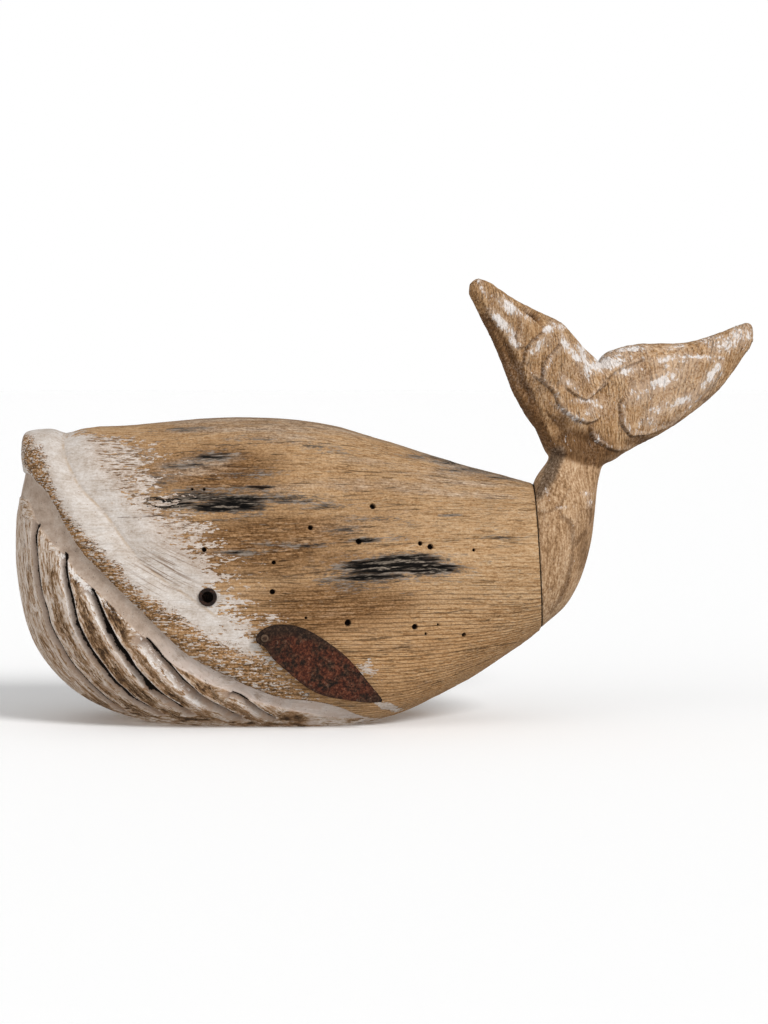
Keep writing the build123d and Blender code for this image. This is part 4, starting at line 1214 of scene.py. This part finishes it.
    # insect holes, socket and the end at the glue joint
    # near black inside the insect holes and round the eye socket: painted shade in the bores
    hole = m.step(1.12, 0.80, m.add(m.attr("hole"), m.swing(speck, 0.3)))
    colour = m.mix(hole, colour, srgb(26, 16, 10))
    colour = m.mix(m.step(3.9, 3.2, m.attr("socket")), colour, srgb(30, 22, 17))
    colour = m.mix(m.step(0.42, 0.08, m.add(m.attr("joint"), m.swing(speck, 0.3))), colour, srgb(34, 24, 16))
    m.link(colour, m.bsdf.inputs["Base Color"])
    m.bsdf.inputs["Specular IOR Level"].default_value = 0.10
    m.link(m.step(0.0, 1.0, m.add(m.mul(mask, 0.2), m.mul(fine, 0.8)), 0.80, 0.95), m.bsdf.inputs["Roughness"])
    rough_h = m.add(m.mul(fine, 0.26), m.mul(hair, 0.20), m.mul(broad, 0.15), m.mul(grit, 0.12))
    rough_h = m.sub(rough_h, m.add(m.mul(lines, 0.6), m.mul(dash, 0.5), m.mul(ring, 0.4)))
    keep = m.sub(1.0, m.mul(m.attr("throat"), 0.9))
    keep = m.mul(keep, m.sub(1.0, m.mul(mask, 0.72)))
    height_ = m.add(m.mul(rough_h, keep), m.mul(mask, 0.22), m.mul(speck, 0.16), m.mul(m.mul(rake, m.attr("throat")), 0.4))
    height_ = m.sub(height_, m.mul(open_, m.mul(m.attr("cracks"), 0.25)))
    m.link(m.bump(height_, 0.0006, 0.8), m.bsdf.inputs["Normal"])
    return m.mat


def tail_material():
    m = Nodes("brushed_tail_wood")
    gr = m.attr("grain", True)
    pos = m.place()
    fluke = m.attr("fluke")
    fine, broad, hair, grit, lines, dash, pores = grain_set(m, gr)
    mottle = m.noise(pos, (0.11, 0.11, 0.06), 4, 0.6)
    speck = m.noise(pos, (1.2, 1.2, 1.2), 4, 0.65)
    pit = m.step(0.60, 0.66, m.noise(gr, (0.30, 1.6, 1.6), 2, 0.6))
    val_ = m.add(m.mul(fine, 0.26), m.mul(broad, 0.20), m.mul(hair, 0.28), m.mul(grit, 0.26))
    wood = m.ramp(val_, [(0.10, (122, 89, 56)), (0.34, (150, 114, 77)), (0.52, (167, 132, 95)), (0.70, (181, 147, 110)), (0.92, (200, 170, 136))])
    wood = m.mix(m.mul(m.step(0.46, 0.66, m.add(mottle, m.swing(broad, 0.12))), 0.38), wood, m.ramp(val_, DEEP))
    wood = m.mix(m.mul(m.sub(1.0, fluke), 0.26), wood, m.ramp(val_, GREYED))
    wood = m.mix(m.mul(m.step(0.30, 0.9, m.add(m.attr("stain"), m.swing(speck, 1.2), m.swing(mottle, 1.0))), 0.6), wood, srgb(80, 54, 33))
    # darker brown under the flukes and on the left bevel: partly stain, partly painted shade
    wood = m.mix(m.mul(m.step(0.15, 0.9, m.add(m.attr("dark"), m.swing(mottle, 0.35), m.swing(fine, 0.25))), 0.86), wood,
                 m.ramp(val_, [(0.1, (56, 36, 19)), (0.5, (90, 60, 32)), (0.95, (124, 88, 53))]))
    wood = m.mix(m.mul(m.step(0.2, 0.8, m.add(m.attr("ashen"), m.swing(mottle, 0.8))), 0.75), wood, m.ramp(val_, [(0.1, (42, 33, 27)), (0.6, (90, 75, 62)), (0.95, (144, 128, 112))]))
    saw = m.math("FRACT", m.add(m.attr("ringph"), m.swing(m.noise(gr, (0.015, 0.12, 0.12), 2, 0.5), 1.5)))
    ring = m.mul(m.step(0.42, 0.06, saw), m.step(0.0, 0.06, saw))
    ring = m.mul(ring, m.step(0.36, 0.58, m.noise(gr, (0.06, 0.25, 0.25), 3, 0.6)))
    ring = m.mul(ring, m.add(m.mul(fluke, 0.8), 0.2))
    wood = m.mix(m.mul(ring, 0.42), wood, srgb(98, 66, 37))
    wood = m.mix(m.mul(lines, 0.4), wood, srgb(80, 54, 31))
    wood = m.mix(m.mul(m.mul(pit, fluke), 0.5), wood, srgb(78, 52, 30))
    wood = m.mix(m.mul(dash, 0.32), wood, srgb(68, 46, 28))
    # dark line at the foot of each carved step: painted shade
    wood = m.mix(m.mul(m.step(0.25, 0.9, m.add(m.attr("low"), m.swing(speck, 1.0))), 0.62), wood, srgb(70, 46, 26))
    flake = m.noise(pos, (0.34, 0.34, 0.28), 4, 0.62)
    flake2 = m.noise(gr, (0.60, 1.1, 1.1), 3, 0.65)
    film = m.add(m.mul(m.attr("worn"), 0.34), m.mul(fluke, 0.06))
    thick = m.math("MAXIMUM", m.attr("wash"), film)
    cover = m.add(thick, m.swing(flake, 1.9), m.swing(flake2, 2.0))
    mask = m.step(0.46, 0.92, cover)
    white = m.ramp(m.add(m.mul(mottle, 0.5), m.mul(speck, 0.5)), [(0.34, (206, 196, 188)), (0.5, (222, 215, 210)), (0.66, (233, 229, 226))])
    # veil: whitish wash, and painted light on the left lobe where pale is set
    veil = m.mul(m.step(0.10, 0.75, m.add(thick, m.swing(mottle, 0.8), m.mul(m.attr("pale"), 0.40), m.swing(grit, 0.35))), 0.34)
    colour = m.mix(veil, wood, srgb(206, 186, 168))
    colour = m.mix(m.mul(mask, 0.9), colour, white)
    colour = m.mix(m.step(0.42, 0.08, m.add(m.attr("joint"), m.swing(speck, 0.3))), colour, srgb(34, 24, 16))
    m.link(colour, m.bsdf.inputs["Base Color"])
    m.bsdf.inputs["Specular IOR Level"].default_value = 0.12
    m.link(m.step(0.0, 1.0, fine, 0.78, 0.94), m.bsdf.inputs["Roughness"])
    h = m.add(m.mul(fine, 0.34), m.mul(hair, 0.25), m.mul(broad, 0.2))
    h = m.mul(m.sub(h, m.add(m.mul(lines, 0.4), m.mul(pit, 0.5), m.mul(ring, 0.5))), m.add(m.mul(fluke, 0.8), 0.2))
    h = m.add(h, m.mul(mask, 0.1), m.mul(speck, 0.25))
    m.link(m.bump(h, 0.0008, 0.9), m.bsdf.inputs["Normal"])
    return m.mat


def rust_material(name, strong, nail=False):
    m = Nodes(name)
    pos = m.place()
    big = m.noise(pos, (0.20, 0.20, 0.20), 3, 0.55)
    mid_ = m.noise(pos, (0.55, 0.55, 0.55), 4, 0.65)
    pit = m.noise(pos, (1.4, 1.4, 1.4), 4, 0.70)
    grain_ = m.step(0.34, 0.66, m.noise(pos, (1.2, 1.2, 1.2), 3, 0.65))
    base = m.ramp(m.add(m.mul(m.step(0.34, 0.66, mid_), 0.45), m.mul(grain_, 0.55)),
                  [(0.10, (18, 12, 9)), (0.40, (38, 26, 19)), (0.66, (56, 40, 30)), (0.92, (78, 59, 45))])
    rust = m.ramp(m.add(m.mul(grain_, 0.6), m.mul(m.step(0.34, 0.66, mid_), 0.4)), [(0.1, (40, 19, 12)), (0.5, (74, 36, 24)), (0.9, (104, 57, 39))])
    where = m.step(0.46, 0.62, m.add(m.mul(big, 0.62), m.mul(mid_, 0.38)))
    inner = None
    if not nail:
        lengthwise, across = [m.t.nodes.new("ShaderNodeVectorMath") for _ in range(2)]
        for node_, axis_ in ((lengthwise, (0.0304, 0.0, -0.0163)), (across, (0.0411, 0.0, 0.0766))):
            node_.operation = "DOT_PRODUCT"
            m.link(pos, node_.inputs[0])
            node_.inputs[1].default_value = axis_
        u_, v_ = m.add(lengthwise.outputs["Value"], -0.442), m.add(across.outputs["Value"], -3.09)
        rim = m.add(m.mul(u_, u_), m.mul(v_, v_))
        inner = m.step(0.85, 0.40, m.add(rim, m.swing(mid_, 0.9)))
        where = m.mul(m.step(0.40, 0.58, m.add(m.mul(big, 0.62), m.mul(mid_, 0.38))), inner)
    colour = m.mix(m.mul(where, strong), base, rust)
    if not nail:
        colour = m.mix(m.mul(m.sub(1.0, inner), 0.30), colour, srgb(36, 25, 19))
    scale = m.step(0.575, 0.63, m.add(m.mul(mid_, 0.55), m.mul(pit, 0.45)))
    colour = m.mix(m.mul(scale, 0.34), colour, srgb(124, 106, 92))
    colour = m.mix(m.mul(m.step(0.40, 0.33, pit), 0.75), colour, srgb(14, 9, 7))
    if nail:
        off = m.t.nodes.new("ShaderNodeVectorMath")
        off.operation = "ABSOLUTE"
        m.link(pos, off.inputs[0])
        far = m.t.nodes.new("ShaderNodeVectorMath")
        far.operation = "DISTANCE"
        m.link(off.outputs[0], far.inputs[0])
        far.inputs[1].default_value = (5.5, 51.4, 37.8)
        d = m.add(far.outputs["Value"], m.swing(pit, 1.2))
        colour = m.mix(m.mul(m.step(0.80, 1.15, d), 0.5), colour, srgb(112, 92, 74))
    m.link(colour, m.bsdf.inputs["Base Color"])
    m.bsdf.inputs["Specular IOR Level"].default_value = 0.12
    m.link(m.step(0.3, 0.7, mid_, 0.70, 0.92), m.bsdf.inputs["Roughness"])
    m.link(m.bump(m.add(m.mul(pit, 0.8), m.mul(mid_, 0.5)), 0.0005, 0.9), m.bsdf.inputs["Normal"])
    return m.mat


def iron_material():
    m = Nodes("blackened_iron")
    pos = m.place()
    a = m.noise(pos, (0.9, 0.9, 0.9), 4, 0.65)
    b = m.noise(pos, (1.6, 1.6, 1.6), 3, 0.65)
    colour = m.ramp(m.add(m.mul(a, 0.6), m.mul(b, 0.4)), [(0.36, (10, 6, 5)), (0.50, (28, 17, 12)), (0.60, (54, 34, 24)), (0.70, (100, 71, 53))])
    m.link(colour, m.bsdf.inputs["Base Color"])
    m.bsdf.inputs["Specular IOR Level"].default_value = 0.14
    m.link(m.step(0.3, 0.7, a, 0.50, 0.75), m.bsdf.inputs["Roughness"])
    m.link(m.bump(b, 0.0002, 0.6), m.bsdf.inputs["Normal"])
    return m.mat


def dowel_material():
    m = Nodes("dowel_wood")
    pos = m.place()
    a = m.noise(pos, (0.05, 2.0, 2.0), 4, 0.6)
    m.link(m.ramp(a, [(0.35, (168, 132, 92)), (0.65, (214, 184, 142))]), m.bsdf.inputs["Base Color"])
    m.link(m.step(0.3, 0.7, a, 0.6, 0.8), m.bsdf.inputs["Roughness"])
    m.link(m.bump(a, 0.0003, 0.5), m.bsdf.inputs["Normal"])
    return m.mat


for ob, node, slot, mat in ((body, "body", "body_wood", body_material()), (tail, "tail", "tail_wood", tail_material())):
    ob.data.materials.clear()
    ob.data.materials.append(mat)
    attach(ob, "whale")
    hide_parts(node)
rust, nail_rust, iron, dowel = (rust_material("rusted_sheet_steel", 0.85), rust_material("rusted_nail_steel", 0.4, True),
                                iron_material(), dowel_material())
for name, mat in (("left_fin", rust), ("right_fin", rust), ("left_fin_nail", nail_rust),
                  ("right_fin_nail", nail_rust), ("left_eye", iron), ("right_eye", iron),
                  ("tail_dowel_upper", dowel), ("tail_dowel_lower", dowel)):
    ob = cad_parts[name]
    ob.data.materials.clear()
    ob.data.materials.append(mat)

# ---------------------------------------------------------------- the studio
scene = bpy.context.scene
scene.view_settings.view_transform = "Standard"
bpy.ops.mesh.primitive_plane_add(size=24, location=(0.05, 0, 0))
floor = bpy.context.object
floor.name = "floor"
fm = Nodes("pale_floor")
fm.bsdf.inputs["Base Color"].default_value = (0.995, 0.995, 0.995, 1)
fm.bsdf.inputs["Roughness"].default_value = 0.9
fm.bsdf.inputs["Specular IOR Level"].default_value = 0.1
floor.data.materials.append(fm.mat)
floor.visible_diffuse = False

# a pale room: bright along the horizon, softer overhead, dim below
world = bpy.data.worlds.new("studio")
scene.world = world
world.use_nodes = True
wt = world.node_tree
direction = wt.nodes.new("ShaderNodeTexCoord").outputs["Generated"]
split = wt.nodes.new("ShaderNodeSeparateXYZ")
wt.links.new(direction, split.inputs[0])
sky = wt.nodes.new("ShaderNodeValToRGB")
half_up = wt.nodes.new("ShaderNodeMapRange")
half_up.inputs["From Min"].default_value = -1.0
half_up.inputs["From Max"].default_value = 1.0
wt.links.new(split.outputs["Z"], half_up.inputs["Value"])
wt.links.new(half_up.outputs[0], sky.inputs[0])
el = sky.color_ramp.elements
stops = [(0.0, 0.52), (0.44, 0.54), (0.465, 1.0), (0.60, 1.0), (0.68, 0.38), (1.0, 0.55)]
while len(el) < len(stops):
    el.new(0.5)
for e, (pos_, lum) in zip(el, stops):
    e.position = pos_
    e.color = (lum, lum, lum, 1)
wt.links.new(sky.outputs[0], wt.nodes["Background"].inputs[0])
wt.nodes["Background"].inputs[1].default_value = 1.0


def sun(name, toward, strength, angle):
    d = bpy.data.lights.new(name, "SUN")
    d.energy = strength
    d.angle = math.radians(angle)
    ob = bpy.data.objects.new(name, d)
    scene.collection.objects.link(ob)
    ob.location = Vector(toward).normalized() * 2
    ob.rotation_euler = Vector(toward).to_track_quat("Z", "Y").to_euler()
    return ob


sun("key", (0.55, -0.62, 0.58), 2.35, 20)
sun("fill", (-0.85, -0.60, 0.12), 0.95, 60)
sun("front", (0.35, -1.0, 0.05), 0.25, 40)

cam_data = bpy.data.cameras.new("camera")
cam = bpy.data.objects.new("camera", cam_data)
scene.collection.objects.link(cam)
cam_data.sensor_width = 36.0
cam_data.lens = 36.0 * DIST / (1024 * UNIT)
cam_data.clip_start, cam_data.clip_end = 0.05, 50
cam.location = Vector(EYEPOINT * MM)
cam.rotation_mode = "QUATERNION"
cam.rotation_quaternion = Vector(FWD).to_track_quat("-Z", "Y")
scene.camera = cam

bpy.context.view_layer.update()
